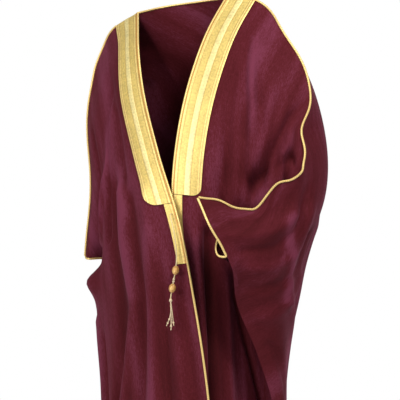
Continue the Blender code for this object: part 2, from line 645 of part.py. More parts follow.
def build():
    """Make every piece of the cloak."""
    clear_scene()
    wool = make_material("burgundy_wool", (0.125, 0.018, 0.038), 0.85)
    gold = make_material("gold_braid", (0.78, 0.55, 0.20), 0.45, 0.35)
    cord_gold = make_material("gold_cord", (0.72, 0.50, 0.18), 0.5, 0.2)
    bead_gold = make_material("bead", (0.60, 0.34, 0.10), 0.35, 0.3)
    panels = build_panels()
    right, left, back = panels["right"], panels["left"], panels["back"]
    everything = slice(None)
    half = CLOTH / 2
    add_wall("front_right", right, everything, everything, -half, half, wool)
    add_wall("front_left", left, everything, everything, -half, half, wool)
    add_wall("back", back, everything, everything, -half, half, wool)

    braid = (half + SEAT, half + SEAT + BRAID)
    band_columns = slice(0, COLUMNS_IN_BAND + 1)
    for side, panel in (("right", right), ("left", left)):
        add_wall(f"band_{side}", panel, slice(0, BAND_ROW + 1), band_columns, *braid, gold)
        strip = {key: value.copy() for key, value in panel.items()}
        middle = strip["middle"]
        middle[BAND_ROW] += STRIP_TRIM * (middle[BAND_ROW + 1] - middle[BAND_ROW])
        add_wall(f"strip_{side}", strip, slice(BAND_ROW, STRIP_ROW + 1),
                 slice(0, COLUMNS_IN_STRIP + 1), *braid, gold)
        edge_line = edge_path(panel, (everything, 0), (everything, 1))
        edge_line[0] += EDGE_TRIM * (edge_line[1] - edge_line[0])
        add_tube(f"edge_piping_{side}", edge_line, PIPING_RADIUS, gold)
        add_tube(f"seam_piping_{side}", seam_path(panel), PIPING_RADIUS, gold)
    neck = slice(COLUMNS_RIGHT - COLUMNS_IN_BAND, COLUMNS_RIGHT + COLUMNS_NECK + COLUMNS_IN_BAND + 1)
    add_wall("band_neck", back, slice(0, 2), neck, *braid, gold)
    neck_edge = slice(COLUMNS_RIGHT, COLUMNS_RIGHT + COLUMNS_NECK + 1)
    neck_line = edge_path(back, (0, neck_edge), (1, neck_edge))
    neck_line[0] += NECK_TRIM * (neck_line[1] - neck_line[0])
    neck_line[-1] += NECK_TRIM * (neck_line[-2] - neck_line[-1])
    add_tube("edge_piping_neck", neck_line, PIPING_RADIUS, gold)
    right_cuff = cuff_path(right, back, 0, 1, CUFF_SEATS["right"])
    left_cuff = cuff_path(left, back, -1, -2, CUFF_SEATS["left"])
    add_tube("cuff_piping_right", right_cuff, PIPING_RADIUS, gold, closed=True)
    add_tube("cuff_piping_left", left_cuff, PIPING_RADIUS, gold, closed=True)

    add_cord("tie_cord", cord_gold)
    add_bead("bead_upper", UPPER_BEAD, bead_gold)
    add_bead("bead_lower", LOWER_BEAD, bead_gold)
    end = cord_points()[-1]
    add_tassel("cord_tassel", (end[0], end[1], end[2] - SEAT), cord_gold)


build()
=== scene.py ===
import math

import bmesh
import bpy
import numpy as np
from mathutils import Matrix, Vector


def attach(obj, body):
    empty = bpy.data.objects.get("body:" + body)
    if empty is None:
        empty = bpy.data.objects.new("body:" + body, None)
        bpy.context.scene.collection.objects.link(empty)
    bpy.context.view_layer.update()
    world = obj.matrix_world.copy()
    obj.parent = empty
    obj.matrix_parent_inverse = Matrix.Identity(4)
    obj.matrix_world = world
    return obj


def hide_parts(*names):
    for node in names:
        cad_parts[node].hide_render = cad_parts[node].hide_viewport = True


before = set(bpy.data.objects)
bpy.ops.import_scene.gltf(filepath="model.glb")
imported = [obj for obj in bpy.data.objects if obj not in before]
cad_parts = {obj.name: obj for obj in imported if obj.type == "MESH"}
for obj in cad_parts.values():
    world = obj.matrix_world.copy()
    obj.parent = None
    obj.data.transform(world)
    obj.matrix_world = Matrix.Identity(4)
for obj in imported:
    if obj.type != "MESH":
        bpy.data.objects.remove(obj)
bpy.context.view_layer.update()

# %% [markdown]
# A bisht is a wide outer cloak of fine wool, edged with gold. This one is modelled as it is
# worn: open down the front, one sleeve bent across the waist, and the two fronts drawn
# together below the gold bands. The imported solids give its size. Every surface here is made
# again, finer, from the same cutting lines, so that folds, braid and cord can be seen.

BAND_WIDTH = 0.066
STRIP_WIDTH = 0.022
PIPING_RADIUS = 0.0027
BRAID_SEAT = 0.0012
HEM_HEIGHT = -1.40
FULL_DROP = 1.40

# %% [markdown]
# The camera comes first, because it decides which side of the cloak matters most. It stands
# three metres away at shoulder to waist height, a little to the cloak's left, with a long
# lens, so that the cloak keeps its proportions.

# %% Camera
VIEW_ANGLE = math.radians(25)
CAMERA_DISTANCE = 3.0
VIEW_WIDTH = 0.96
SENSOR_WIDTH = 36.0
AIM_ASIDE = 0.012
AIM_HEIGHT = -0.468


def add_camera():
    """A camera level with the middle of the picture, turned to the photograph's side."""
    backward = Vector((math.sin(VIEW_ANGLE), -math.cos(VIEW_ANGLE), 0.0))
    aside = Vector((math.cos(VIEW_ANGLE), math.sin(VIEW_ANGLE), 0.0))
    aim = aside * AIM_ASIDE + Vector((0.0, 0.0, AIM_HEIGHT))
    data = bpy.data.cameras.new("camera")
    data.sensor_width = SENSOR_WIDTH
    data.lens = SENSOR_WIDTH * CAMERA_DISTANCE / VIEW_WIDTH
    camera = bpy.data.objects.new("camera", data)
    camera.location = aim + backward * CAMERA_DISTANCE
    camera.rotation_euler = backward.to_track_quat("Z", "Y").to_euler()
    bpy.context.scene.collection.objects.link(camera)
    bpy.context.scene.camera = camera
    bpy.context.scene.view_settings.view_transform = "Standard"
    return camera


camera = add_camera()
print("lens", round(camera.data.lens, 1), "mm at", [round(value, 2) for value in camera.location])

# %% [markdown]
# Each mesh here is a list of points and faces worked out by a function. One helper turns
# them into an object, shades it smooth, gives it a material, and stores two numbers for each
# point in a UV map. The numbers are real distances in metres, so a weave or a twist drawn
# from them has its true size wherever it lies.

# %% Mesh helpers


def store_pairs(mesh, name, pairs):
    """Two numbers for each point, kept in a UV map."""
    layer = mesh.uv_layers.new(name=name)
    corners = np.empty(len(mesh.loops), dtype=np.int32)
    mesh.loops.foreach_get("vertex_index", corners)
    layer.data.foreach_set("uv", np.asarray(pairs, np.float32)[corners].ravel())


def add_piece(name, points, faces, material, measures=None):
    """A smooth mesh piece with its measures, across and along in metres, as a UV map."""
    mesh = bpy.data.meshes.new(name)
    mesh.from_pydata([tuple(map(float, point)) for point in points], [], faces)
    mesh.shade_smooth()
    if measures is not None:
        store_pairs(mesh, "measures", measures)
    mesh.materials.append(material)
    piece = bpy.data.objects.new(name, mesh)
    bpy.context.scene.collection.objects.link(piece)
    return piece


def unit(vectors):
    """Vectors scaled to length one."""
    lengths = np.linalg.norm(vectors, axis=-1, keepdims=True)
    return vectors / np.maximum(lengths, 1e-9)


def distances(points):
    """Distance run along each line of points."""
    steps = np.linalg.norm(np.diff(points, axis=-2), axis=-1)
    run = np.cumsum(steps, axis=-1)
    return np.concatenate((np.zeros((*run.shape[:-1], 1)), run), axis=-1)


def smooth(keys, values, places):
    """Read a smooth curve through values at keys, at other places."""
    keys = np.asarray(keys, float)
    values = np.asarray(values, float)
    steps = np.diff(keys)
    slopes = np.diff(values, axis=0) / steps[:, None]
    tangents = np.empty_like(values)
    before = steps[:-1, None]
    after = steps[1:, None]
    tangents[1:-1] = (after * slopes[:-1] + before * slopes[1:]) / (before + after)
    tangents[0] = slopes[0]
    tangents[-1] = slopes[-1]
    spans = np.clip(np.searchsorted(keys, places, side="right") - 1, 0, len(steps) - 1)
    width = steps[spans][:, None]
    t = ((places - keys[spans])[:, None]) / width
    start, end = values[spans], values[spans + 1]
    return ((2 * t**3 - 3 * t**2 + 1) * start + (t**3 - 2 * t**2 + t) * width * tangents[spans]
            + (3 * t**2 - 2 * t**3) * end + (t**3 - t**2) * width * tangents[spans + 1])


# %% [markdown]
# Wool, metal braid and twisted cord share a few effects, and each is a node group with named
# sockets: a plain weave of crossing threads, slow uneven tone as in piece-dyed cloth, and the
# slanting strands of a twist. The groups read the measures stored with the mesh, so they
# stay on the cloth when it is seen from another side.

# %% Node groups


def new_group(name, inputs, outputs):
    """An empty shader group with float inputs at default values and named outputs."""
    group = bpy.data.node_groups.new(name, "ShaderNodeTree")
    for label, value in inputs:
        kind = "NodeSocketVector" if value is None else "NodeSocketFloat"
        socket = group.interface.new_socket(label, in_out="INPUT", socket_type=kind)
        if value is not None:
            socket.default_value = value
    for label in outputs:
        group.interface.new_socket(label, in_out="OUTPUT", socket_type="NodeSocketFloat")
    start = group.nodes.new("NodeGroupInput")
    end = group.nodes.new("NodeGroupOutput")
    return group, start, end


def math_node(tree, operation, first, second=None, third=None):
    """A math node fed by sockets or by plain numbers."""
    node = tree.nodes.new("ShaderNodeMath")
    node.operation = operation
    for index, source in enumerate((first, second, third)):
        if source is None:
            continue
        if isinstance(source, (int, float)):
            node.inputs[index].default_value = source
        else:
            tree.links.new(source, node.inputs[index])
    return node.outputs[0]


def make_weave_group():
    """Crossing threads: the height of the weave, and a tone that varies along the threads."""
    group, start, end = new_group(
        "plain weave", (("Measures", None), ("Thread", 0.0006), ("Unevenness", 0.3)),
        ("Height", "Tone"))
    noise = group.nodes.new("ShaderNodeTexNoise")
    noise.inputs["Scale"].default_value = 420.0
    group.links.new(start.outputs["Measures"], noise.inputs["Vector"])
    split = group.nodes.new("ShaderNodeSeparateXYZ")
    group.links.new(start.outputs["Measures"], split.inputs[0])
    turns = math_node(group, "DIVIDE", math.pi, start.outputs["Thread"])
    warp = math_node(group, "SINE", math_node(group, "MULTIPLY", split.outputs["X"], turns))
    weft = math_node(group, "SINE", math_node(group, "MULTIPLY", split.outputs["Y"], turns))
    crossing = math_node(group, "MULTIPLY", warp, weft)
    uneven = math_node(group, "MULTIPLY", math_node(group, "SUBTRACT", noise.outputs[0], 0.5),
                       start.outputs["Unevenness"])
    height = math_node(group, "MULTIPLY_ADD", crossing, 0.5, 0.5)
    group.links.new(math_node(group, "ADD", height, uneven), end.inputs["Height"])
    group.links.new(math_node(group, "ADD", uneven, 0.5), end.inputs["Tone"])
    return group


def make_tone_group():
    """Slow change of tone along the threads, from 0 to 1."""
    group, start, end = new_group(
        "uneven tone", (("Measures", None), ("Size", 0.08), ("Stretch", 4.0)), ("Tone",))
    scale = group.nodes.new("ShaderNodeVectorMath")
    scale.operation = "MULTIPLY"
    join = group.nodes.new("ShaderNodeCombineXYZ")
    group.links.new(start.outputs["Stretch"], join.inputs["X"])
    join.inputs["Y"].default_value = 1.0
    join.inputs["Z"].default_value = 1.0
    group.links.new(start.outputs["Measures"], scale.inputs[0])
    group.links.new(join.outputs[0], scale.inputs[1])
    noise = group.nodes.new("ShaderNodeTexNoise")
    noise.inputs["Detail"].default_value = 3.0
    group.links.new(scale.outputs[0], noise.inputs["Vector"])
    group.links.new(math_node(group, "DIVIDE", 1.0, start.outputs["Size"]), noise.inputs["Scale"])
    group.links.new(noise.outputs[0], end.inputs["Tone"])
    return group


def make_twist_group():
    """Slanting strands round a cord: 1 on a strand's crown and 0 between two strands."""
    group, start, end = new_group(
        "twisted strands", (("Measures", None), ("Pitch", 0.004), ("Slant", 1.0)), ("Strand",))
    split = group.nodes.new("ShaderNodeSeparateXYZ")
    group.links.new(start.outputs["Measures"], split.inputs[0])
    slanted = math_node(group, "MULTIPLY", split.outputs["X"], start.outputs["Slant"])
    place = math_node(group, "DIVIDE", math_node(group, "ADD", slanted, split.outputs["Y"]),
                      start.outputs["Pitch"])
    wave = math_node(group, "SINE", math_node(group, "MULTIPLY", place, 2 * math.pi))
    group.links.new(math_node(group, "MULTIPLY_ADD", wave, 0.5, 0.5), end.inputs["Strand"])
    return group


WEAVE = make_weave_group()
TONE = make_tone_group()
TWIST = make_twist_group()
print("node groups", WEAVE.name, "|", TONE.name, "|", TWIST.name)

# %% [markdown]
# The wool is thin, plain woven and a little sheer. Deep burgundy shows where it turns from
# the light, and its nap lifts a purple bloom where light grazes it, which a sheen does well.
# Thin streaks and short slubs come from threads that are uneven in dye and thickness. The folds
# carry painted light as well: a painted glow on the ridges and painted shade in the troughs.

# %% Materials


def start_material(name, roughness, metallic=0.0):
    """A material with its shader, a UV node and set values, ready to be wired."""
    material = bpy.data.materials.new(name)
    material.use_nodes = True
    tree = material.node_tree
    shader = tree.nodes["Principled BSDF"]
    shader.inputs["Roughness"].default_value = roughness
    shader.inputs["Metallic"].default_value = metallic
    measures = tree.nodes.new("ShaderNodeUVMap")
    measures.uv_map = "measures"
    return material, tree, shader, measures.outputs[0]


def place_group(tree, group, measures, **values):
    """A node group fed with the measures and its own values."""
    node = tree.nodes.new("ShaderNodeGroup")
    node.node_tree = group
    tree.links.new(measures, node.inputs["Measures"])
    for label, value in values.items():
        node.inputs[label.replace("_", " ")].default_value = value
    return node


def color_ramp(tree, source, stops):
    """A ramp from a value to colours, given as (place, red, green, blue)."""
    node = tree.nodes.new("ShaderNodeValToRGB")
    elements = node.color_ramp.elements
    while len(elements) < len(stops):
        elements.new(0.5)
    for element, (place, *color) in zip(elements, stops):
        element.position = place
        element.color = (*color, 1.0)
    tree.links.new(source, node.inputs[0])
    return node.outputs[0]


def add_bump(tree, shader, height, strength, distance):
    """Relief from a height, in metres, into the shader's normal."""
    node = tree.nodes.new("ShaderNodeBump")
    node.inputs["Strength"].default_value = strength
    node.inputs["Distance"].default_value = distance
    tree.links.new(height, node.inputs["Height"])
    tree.links.new(node.outputs[0], shader.inputs["Normal"])


# Wool colours from dark to pale. The tone that picks them mixes the threads' uneven dye with
# painted shade in the troughs and a painted glow on the crests of the ridges. Columns: place on
# the ramp, red, green, blue.
WOOL_COLORS = (
    (0.35, 0.034, 0.0028, 0.0036), (0.60, 0.057, 0.0046, 0.0064), (0.78, 0.081, 0.0082, 0.0128),
    (1.00, 0.135, 0.0240, 0.0460),
)
# Strength of the painted light and shade that the fold heights give the wool's colour
PAINTED_LIGHT_STRENGTH = 10.0
# Shares of the tone that come from the threads, from dye streaks and from slubs
THREAD_TONE = 0.45
STREAK_TONE = 0.12
SLUB_TONE = 0.42


def make_wool():
    """Fine burgundy wool with a purple nap, and painted light and shade along its folds."""
    material, tree, shader, measures = start_material("burgundy wool", 0.78)
    weave = place_group(tree, WEAVE, measures, Thread=0.0008, Unevenness=0.9)
    broad = place_group(tree, TONE, measures, Size=0.55, Stretch=6.0)
    fine = place_group(tree, TONE, measures, Size=0.09, Stretch=9.0)
    mixed = math_node(tree, "MULTIPLY_ADD", weave.outputs["Tone"], THREAD_TONE,
                      broad.outputs["Tone"])
    mixed = math_node(tree, "MULTIPLY_ADD", fine.outputs["Tone"], STREAK_TONE, mixed)
    slubs = place_group(tree, TONE, measures, Size=0.010, Stretch=3.0)
    grain = math_node(tree, "SUBTRACT", slubs.outputs["Tone"], 0.5)
    mixed = math_node(tree, "MULTIPLY_ADD", grain, SLUB_TONE, mixed)
    # Painted light and shade: the fold heights and marks kept with each panel paint the crests
    # paler and the troughs darker
    painted_light_map = tree.nodes.new("ShaderNodeUVMap")
    painted_light_map.uv_map = "painted_light_map"
    painted_light = tree.nodes.new("ShaderNodeSeparateXYZ")
    tree.links.new(painted_light_map.outputs[0], painted_light.inputs[0])
    mixed = math_node(tree, "ADD", mixed, painted_light.outputs["X"])
    color = color_ramp(tree, mixed, WOOL_COLORS)
    tree.links.new(color, shader.inputs["Base Color"])
    shader.inputs["Sheen Weight"].default_value = 0.12
    shader.inputs["Sheen Roughness"].default_value = 0.45
    shader.inputs["Sheen Tint"].default_value = (0.90, 0.28, 0.46, 1.0)
    shader.inputs["Specular IOR Level"].default_value = 0.08
    add_bump(tree, shader, weave.outputs["Height"], 0.45, 0.0003)
    return material


# Colours across the gold band. Columns: share of the width, red, green, blue.
BRAID_STRIPES = (
    (0.00, 0.46, 0.24, 0.05), (0.045, 0.42, 0.22, 0.05), (0.06, 0.74, 0.56, 0.19),
    (0.13, 0.72, 0.54, 0.18), (0.15, 0.46, 0.28, 0.07), (0.17, 0.61, 0.45, 0.13),
    (0.36, 0.60, 0.44, 0.125), (0.385, 0.46, 0.29, 0.07), (0.41, 0.71, 0.58, 0.24),
    (0.58, 0.72, 0.60, 0.26), (0.605, 0.46, 0.29, 0.07), (0.63, 0.60, 0.44, 0.125),
    (0.82, 0.61, 0.45, 0.13), (0.84, 0.44, 0.26, 0.06), (0.86, 0.74, 0.57, 0.20),
    (0.90, 0.70, 0.52, 0.17), (0.92, 0.44, 0.25, 0.06), (0.95, 0.74, 0.58, 0.21),
    (1.00, 0.62, 0.43, 0.13),
)


def make_braid():
    """Gold metal-thread braid: stripes across its width, fine ribs along it."""
    material, tree, shader, measures = start_material("gold braid", 0.42, 0.40)
    split = tree.nodes.new("ShaderNodeSeparateXYZ")
    tree.links.new(measures, split.inputs[0])
    across = math_node(tree, "DIVIDE", split.outputs["X"], BAND_WIDTH)
    stripes = color_ramp(tree, across, BRAID_STRIPES)
    tone = place_group(tree, TONE, measures, Size=0.030, Stretch=1.0)
    grain = place_group(tree, TONE, measures, Size=0.0045, Stretch=1.0)
    ribs = place_group(tree, TWIST, measures, Pitch=0.0016, Slant=0.0)
    slants = place_group(tree, TWIST, measures, Pitch=0.0042, Slant=1.0)
    relief = math_node(tree, "MULTIPLY_ADD", slants.outputs[0], 0.6, ribs.outputs[0])
    # Painted shade: the valleys between the ribs and slanting strands are painted darker, their
    # crowns paler
    shade = math_node(tree, "MULTIPLY_ADD", relief, 0.10, 0.23)
    shade = math_node(tree, "MULTIPLY_ADD", tone.outputs[0], 0.55, shade)
    shade = math_node(tree, "MULTIPLY_ADD", grain.outputs[0], 0.95, shade)
    mix = tree.nodes.new("ShaderNodeMix")
    mix.data_type = "RGBA"
    mix.blend_type = "MULTIPLY"
    mix.inputs["Factor"].default_value = 1.0
    grey = tree.nodes.new("ShaderNodeCombineColor")
    for label in ("Red", "Green", "Blue"):
        tree.links.new(shade, grey.inputs[label])
    tree.links.new(stripes, mix.inputs[6])
    tree.links.new(grey.outputs[0], mix.inputs[7])
    tree.links.new(mix.outputs[2], shader.inputs["Base Color"])
    raised = math_node(tree, "MULTIPLY_ADD", grain.outputs[0], 2.0, relief)
    add_bump(tree, shader, raised, 0.4, 0.0003)
    return material


def make_gold_cord(name, crown, painted_valley_shade, pitch, slant, roughness, metallic):
    """Twisted metal-thread cord: pale crowns, and painted shade in the valleys between the
    strands.
    """
    material, tree, shader, measures = start_material(name, roughness, metallic)
    strands = place_group(tree, TWIST, measures, Pitch=pitch, Slant=slant)
    color = color_ramp(tree, strands.outputs[0], ((0.1, *painted_valley_shade), (0.65, *crown)))
    tree.links.new(color, shader.inputs["Base Color"])
    add_bump(tree, shader, strands.outputs[0], 0.7, 0.0004)
    return material


def make_bead():
    """Turned wood wound with gold thread, with painted shade between its windings."""
    material, tree, shader, measures = start_material("wound bead", 0.38, 0.25)
    thread = place_group(tree, TWIST, measures, Pitch=0.0012, Slant=0.12)
    tone = place_group(tree, TONE, measures, Size=0.009, Stretch=1.0)
    # Painted shade: the wound thread is painted darker between its turns and paler on their
    # crowns, over a random tone
    mixed = math_node(tree, "MULTIPLY_ADD", thread.outputs[0], 0.35, tone.outputs[0])
    color = color_ramp(tree, mixed, ((0.35, 0.30, 0.11, 0.025), (0.70, 0.60, 0.31, 0.075),
                                     (0.95, 0.82, 0.55, 0.19)))
    tree.links.new(color, shader.inputs["Base Color"])
    shader.inputs["Coat Weight"].default_value = 0.3
    add_bump(tree, shader, thread.outputs[0], 0.6, 0.0003)
    return material


wool = make_wool()
braid = make_braid()
piping_gold = make_gold_cord("gold piping", (0.95, 0.73, 0.29), (0.62, 0.37, 0.10), 0.0045, 1.0,
                             0.42, 0.45)
cord_gold = make_gold_cord("tie cord gold", (0.88, 0.74, 0.42), (0.50, 0.34, 0.14), 0.0030, 1.0,
                           0.5, 0.3)
tassel_thread = make_gold_cord("tassel thread", (0.80, 0.66, 0.44), (0.42, 0.28, 0.14), 0.0022,
                               1.0, 0.6, 0.15)
bead_gold = make_bead()
print("materials", [item.name for item in (wool, braid, piping_gold, cord_gold, bead_gold)])

# %% [markdown]
# The cloth is cut as two fronts and a back, and the cut decides how it hangs. Each panel is
# drawn by a few lines that run down it, from the seam along the shoulder and the top of the
# sleeve to the hem. A smooth surface through the lines gives the hang of the cloth, as
# pattern pieces draped on a stand do.

# %% Lines of the cut
STATIONS = (0.0, 0.06, 0.13, 0.25, 0.36, 0.50, 0.72, 1.0)
CUFF_STATION = 0.13
BAND_END = 0.34
STRIP_END = 0.435

# Lines down the right front, from the front edge round to the cuff and the side fold.
# Columns: height at the seam, height at the cuff station, then x, y at each station.
RIGHT_FRONT = {
    "front edge": (-0.018, -0.198, (-0.137, -0.035), (-0.103, -0.100), (-0.077, -0.130),
                   (-0.010, -0.178), (0.055, -0.208), (0.092, -0.203), (0.135, -0.195),
                   (0.165, -0.200)),
    "breast": (-0.036, -0.213, (-0.175, -0.022), (-0.166, -0.078), (-0.148, -0.112),
               (-0.072, -0.168), (-0.018, -0.202), (0.016, -0.196), (0.044, -0.187),
               (0.066, -0.195)),
    "chest side": (-0.084, -0.255, (-0.232, 0.0), (-0.216, -0.055), (-0.182, -0.088),
                   (-0.124, -0.142), (-0.090, -0.172), (-0.068, -0.166), (-0.053, -0.162),
                   (-0.045, -0.168)),
    "arm front": (-0.190, -0.347, (-0.277, -0.010), (-0.244, -0.056), (-0.208, -0.084),
                  (-0.182, -0.108), (-0.170, -0.116), (-0.158, -0.112), (-0.149, -0.108),
                  (-0.142, -0.116)),
    "forearm": (-0.408, -0.537, (-0.289, -0.015), (-0.264, -0.050), (-0.218, -0.064),
                (-0.222, -0.064), (-0.226, -0.056), (-0.219, -0.048), (-0.214, -0.045),
                (-0.207, -0.052)),
    "cuff": (-0.607, -0.615, (-0.292, -0.020), (-0.270, -0.044), (-0.238, 0.0),
             (-0.270, 0.006), (-0.266, 0.003), (-0.250, 0.0), (-0.242, 0.0), (-0.240, 0.0)),
}

# Lines down the left front. Its sleeve is bent across the waist, seam on top.
LEFT_FRONT = {
    "front edge": (0.012, -0.172, (0.094, -0.018), (0.070, -0.072), (0.050, -0.115),
                   (0.032, -0.163), (0.034, -0.190), (0.050, -0.180), (0.070, -0.172),
                   (0.090, -0.178)),
    "breast": (0.0, -0.182, (0.155, 0.0), (0.138, -0.056), (0.120, -0.100),
               (0.096, -0.152), (0.088, -0.178), (0.100, -0.168), (0.118, -0.158),
               (0.135, -0.165)),
    "chest side": (-0.072, -0.245, (0.236, -0.020), (0.212, -0.075), (0.189, -0.110),
                   (0.160, -0.130), (0.135, -0.118), (0.128, -0.098), (0.140, -0.100),
                   (0.150, -0.115)),
    "arm front": (-0.192, -0.350, (0.301, -0.042), (0.276, -0.088), (0.245, -0.112),
                  (0.198, -0.098), (0.178, -0.062), (0.165, -0.045), (0.165, -0.055),
                  (0.170, -0.065)),
    "elbow": (-0.405, -0.540, (0.302, -0.100), (0.262, -0.098), (0.238, -0.068),
              (0.236, -0.035), (0.226, -0.015), (0.208, -0.005), (0.198, -0.010),
              (0.200, -0.020)),
    "forearm": (-0.489, -0.607, (0.205, -0.205), (0.190, -0.160), (0.205, -0.135),
                (0.226, -0.092), (0.235, -0.060), (0.232, -0.035), (0.226, -0.035),
                (0.225, -0.045)),
    "cuff": (-0.465, -0.590, (0.133, -0.265), (0.140, -0.208), (0.193, -0.240),
             (0.186, -0.176), (0.211, -0.120), (0.239, -0.068), (0.250, -0.050),
             (0.254, -0.050)),
}

# Lines down the back from the same points of the seam, the first station being on it
RIGHT_BACK = {
    "front edge": ((-0.125, 0.062), (-0.104, 0.128), (-0.085, 0.162), (-0.078, 0.176),
                   (-0.072, 0.186), (-0.066, 0.194), (-0.066, 0.204)),
    "breast": ((-0.172, 0.062), (-0.150, 0.120), (-0.130, 0.154), (-0.118, 0.168),
               (-0.108, 0.178), (-0.100, 0.186), (-0.100, 0.196)),
    "chest side": ((-0.238, 0.065), (-0.214, 0.112), (-0.182, 0.144), (-0.162, 0.160),
                   (-0.150, 0.168), (-0.140, 0.174), (-0.140, 0.184)),
    "arm front": ((-0.292, 0.048), (-0.278, 0.095), (-0.250, 0.122), (-0.232, 0.132),
                  (-0.214, 0.140), (-0.200, 0.146), (-0.200, 0.155)),
    "forearm": ((-0.308, 0.030), (-0.290, 0.080), (-0.262, 0.090), (-0.256, 0.088),
                (-0.246, 0.088), (-0.236, 0.090), (-0.234, 0.094)),
    "cuff": ((-0.300, 0.034), (-0.238, 0.0), (-0.270, 0.006), (-0.266, 0.003),
             (-0.250, 0.0), (-0.242, 0.0), (-0.240, 0.0)),
}
LEFT_BACK = {
    "front edge": ((0.088, 0.066), (0.080, 0.128), (0.070, 0.162), (0.066, 0.176),
                   (0.062, 0.186), (0.058, 0.194), (0.058, 0.204)),
    "breast": ((0.152, 0.074), (0.138, 0.124), (0.122, 0.156), (0.110, 0.170),
               (0.102, 0.179), (0.097, 0.186), (0.097, 0.196)),
    "chest side": ((0.246, 0.056), (0.230, 0.106), (0.202, 0.140), (0.178, 0.152),
                   (0.158, 0.158), (0.146, 0.166), (0.144, 0.176)),
    "arm front": ((0.311, 0.022), (0.300, 0.078), (0.260, 0.106), (0.230, 0.114),
                  (0.200, 0.118), (0.184, 0.130), (0.182, 0.140)),
    "elbow": ((0.328, -0.030), (0.302, 0.022), (0.264, 0.046), (0.234, 0.054),
              (0.216, 0.062), (0.212, 0.072), (0.212, 0.078)),
    "forearm": ((0.244, -0.202), (0.264, -0.172), (0.258, -0.128), (0.256, -0.088),
                (0.254, -0.044), (0.256, -0.014), (0.258, -0.006)),
    "cuff": ((0.164, -0.272), (0.193, -0.240), (0.186, -0.176), (0.211, -0.120),
             (0.239, -0.068), (0.250, -0.050), (0.254, -0.050)),
}
# Lines down the back from the neck edge, with the same columns as the front's
BACK_NECK = {
    "right of neck": (0.005, -0.172, (-0.104, 0.038), (-0.080, 0.088), (-0.060, 0.134),
                      (-0.046, 0.164), (-0.041, 0.178), (-0.037, 0.188), (-0.033, 0.196),
                      (-0.033, 0.206)),
    "middle": (0.018, -0.165, (-0.022, 0.074), (-0.018, 0.108), (-0.012, 0.138),
               (-0.006, 0.165), (-0.004, 0.179), (-0.002, 0.189), (0.0, 0.197), (0.0, 0.207)),
    "left of neck": (0.018, -0.166, (0.062, 0.048), (0.046, 0.094), (0.036, 0.136),
                     (0.033, 0.164), (0.031, 0.178), (0.030, 0.188), (0.029, 0.196),
                     (0.029, 0.206)),
}

# %% [markdown]
# Each panel becomes a grid of points, with rows down it and columns across. Some rows fall
# exactly where the cuff, the band and the strip end. The back takes its first row from the
# fronts, so the shoulder seams meet point for point.

# %% Fine grids of the panels
FINE = 5
ROWS_ABOVE_CUFF = 4 * FINE
ROWS_TO_BAND_END = 4 * FINE
ROWS_BESIDE_STRIP = 2 * FINE
ROWS_TO_HEM = 11 * FINE
COLUMNS_IN_BAND = 12
COLUMNS_RIGHT = 92
COLUMNS_LEFT = 104
COLUMNS_NECK = 32


def row_shares():
    """Shares of the way down at which the grid has its rows."""
    return np.concatenate((
        np.linspace(0.0, CUFF_STATION, ROWS_ABOVE_CUFF, endpoint=False),
        np.linspace(CUFF_STATION, BAND_END, ROWS_TO_BAND_END, endpoint=False),
        np.linspace(BAND_END, STRIP_END, ROWS_BESIDE_STRIP, endpoint=False),
        np.linspace(STRIP_END, 1.0, ROWS_TO_HEM + 1)))


ROWS = row_shares()
CUFF_ROW = ROWS_ABOVE_CUFF
BAND_ROW = CUFF_ROW + ROWS_TO_BAND_END


def line_points(seam_height, cuff_height, plan):
    """Points of one line down the cloth at every grid row."""
    shares = np.array(STATIONS)
    upper = seam_height + (cuff_height - seam_height) * shares / CUFF_STATION
    lower = cuff_height + (HEM_HEIGHT - cuff_height) * (shares - CUFF_STATION) / (1 - CUFF_STATION)
    heights = np.where(shares <= CUFF_STATION, upper, lower)
    return smooth(shares, np.column_stack((np.array(plan), heights)), ROWS)


def panel_lines(table):
    """The lines of a panel, one after the other."""
    return np.array([line_points(row[0], row[1], row[2:]) for row in table.values()])


def back_lines(front_table, back_table):
    """The lines of one half of the back, which start on the seam with the front's."""
    lines = []
    for name, plan in back_table.items():
        front = front_table[name]
        lines.append(line_points(front[0], front[1], (front[2], *plan)))
    return np.array(lines)


def front_grid(table, count):
    """Grid of a front: rows down, columns from the front edge to the side."""
    lines = panel_lines(table)
    rows = []
    for row in range(len(ROWS)):
        keys = distances(lines[:, row])
        band = np.linspace(0.0, BAND_WIDTH, COLUMNS_IN_BAND, endpoint=False)
        rest = np.linspace(BAND_WIDTH, keys[-1], count - COLUMNS_IN_BAND + 1)
        rows.append(smooth(keys, lines[:, row], np.concatenate((band, rest))))
    return np.array(rows)


def back_grid(right, left):
    """Grid of the back: right sleeve, neck, left sleeve, with neck corners."""
    right_lines = back_lines(RIGHT_FRONT, RIGHT_BACK)[::-1]
    left_lines = back_lines(LEFT_FRONT, LEFT_BACK)
    neck_lines = np.concatenate((right_lines[-1:], panel_lines(BACK_NECK), left_lines[:1]))
    right_share = 1 - distances(right[0])[::-1] / distances(right[0])[-1]
    left_share = distances(left[0]) / distances(left[0])[-1]
    neck_share = np.linspace(0.0, 1.0, COLUMNS_NECK + 1)[1:-1]
    stretches = ((right_lines, right_share), (neck_lines, neck_share), (left_lines, left_share))
    rows = []
    for row in range(len(ROWS)):
        across = []
        for lines, shares in stretches:
            keys = distances(lines[:, row])
            across.append(smooth(keys, lines[:, row], keys[-1] * shares))
        rows.append(np.concatenate(across))
    return np.array(rows)


def normals(grid, side):
    """Outward normals of a grid; side is 1 or -1, by the way that its columns run."""
    cells = unit(np.cross(grid[1:, 1:] - grid[:-1, :-1], grid[1:, :-1] - grid[:-1, 1:]))
    total = np.zeros_like(grid)
    total[:-1, :-1] += cells
    total[:-1, 1:] += cells
    total[1:, :-1] += cells
    total[1:, 1:] += cells
    return side * unit(total)


# %% [markdown]
# Folds follow how the cloth is held. From the waist, where the fronts are drawn together, and
# from the bent elbow, it hangs in long soft ridges with deeper troughs between. Each fold is
# a short line on the cloth with a width and a depth; the cloth is pushed out or in along it.
# No two are alike in length, width or depth, as in real cloth.

# %% Folds
FOLD_START = 0.55

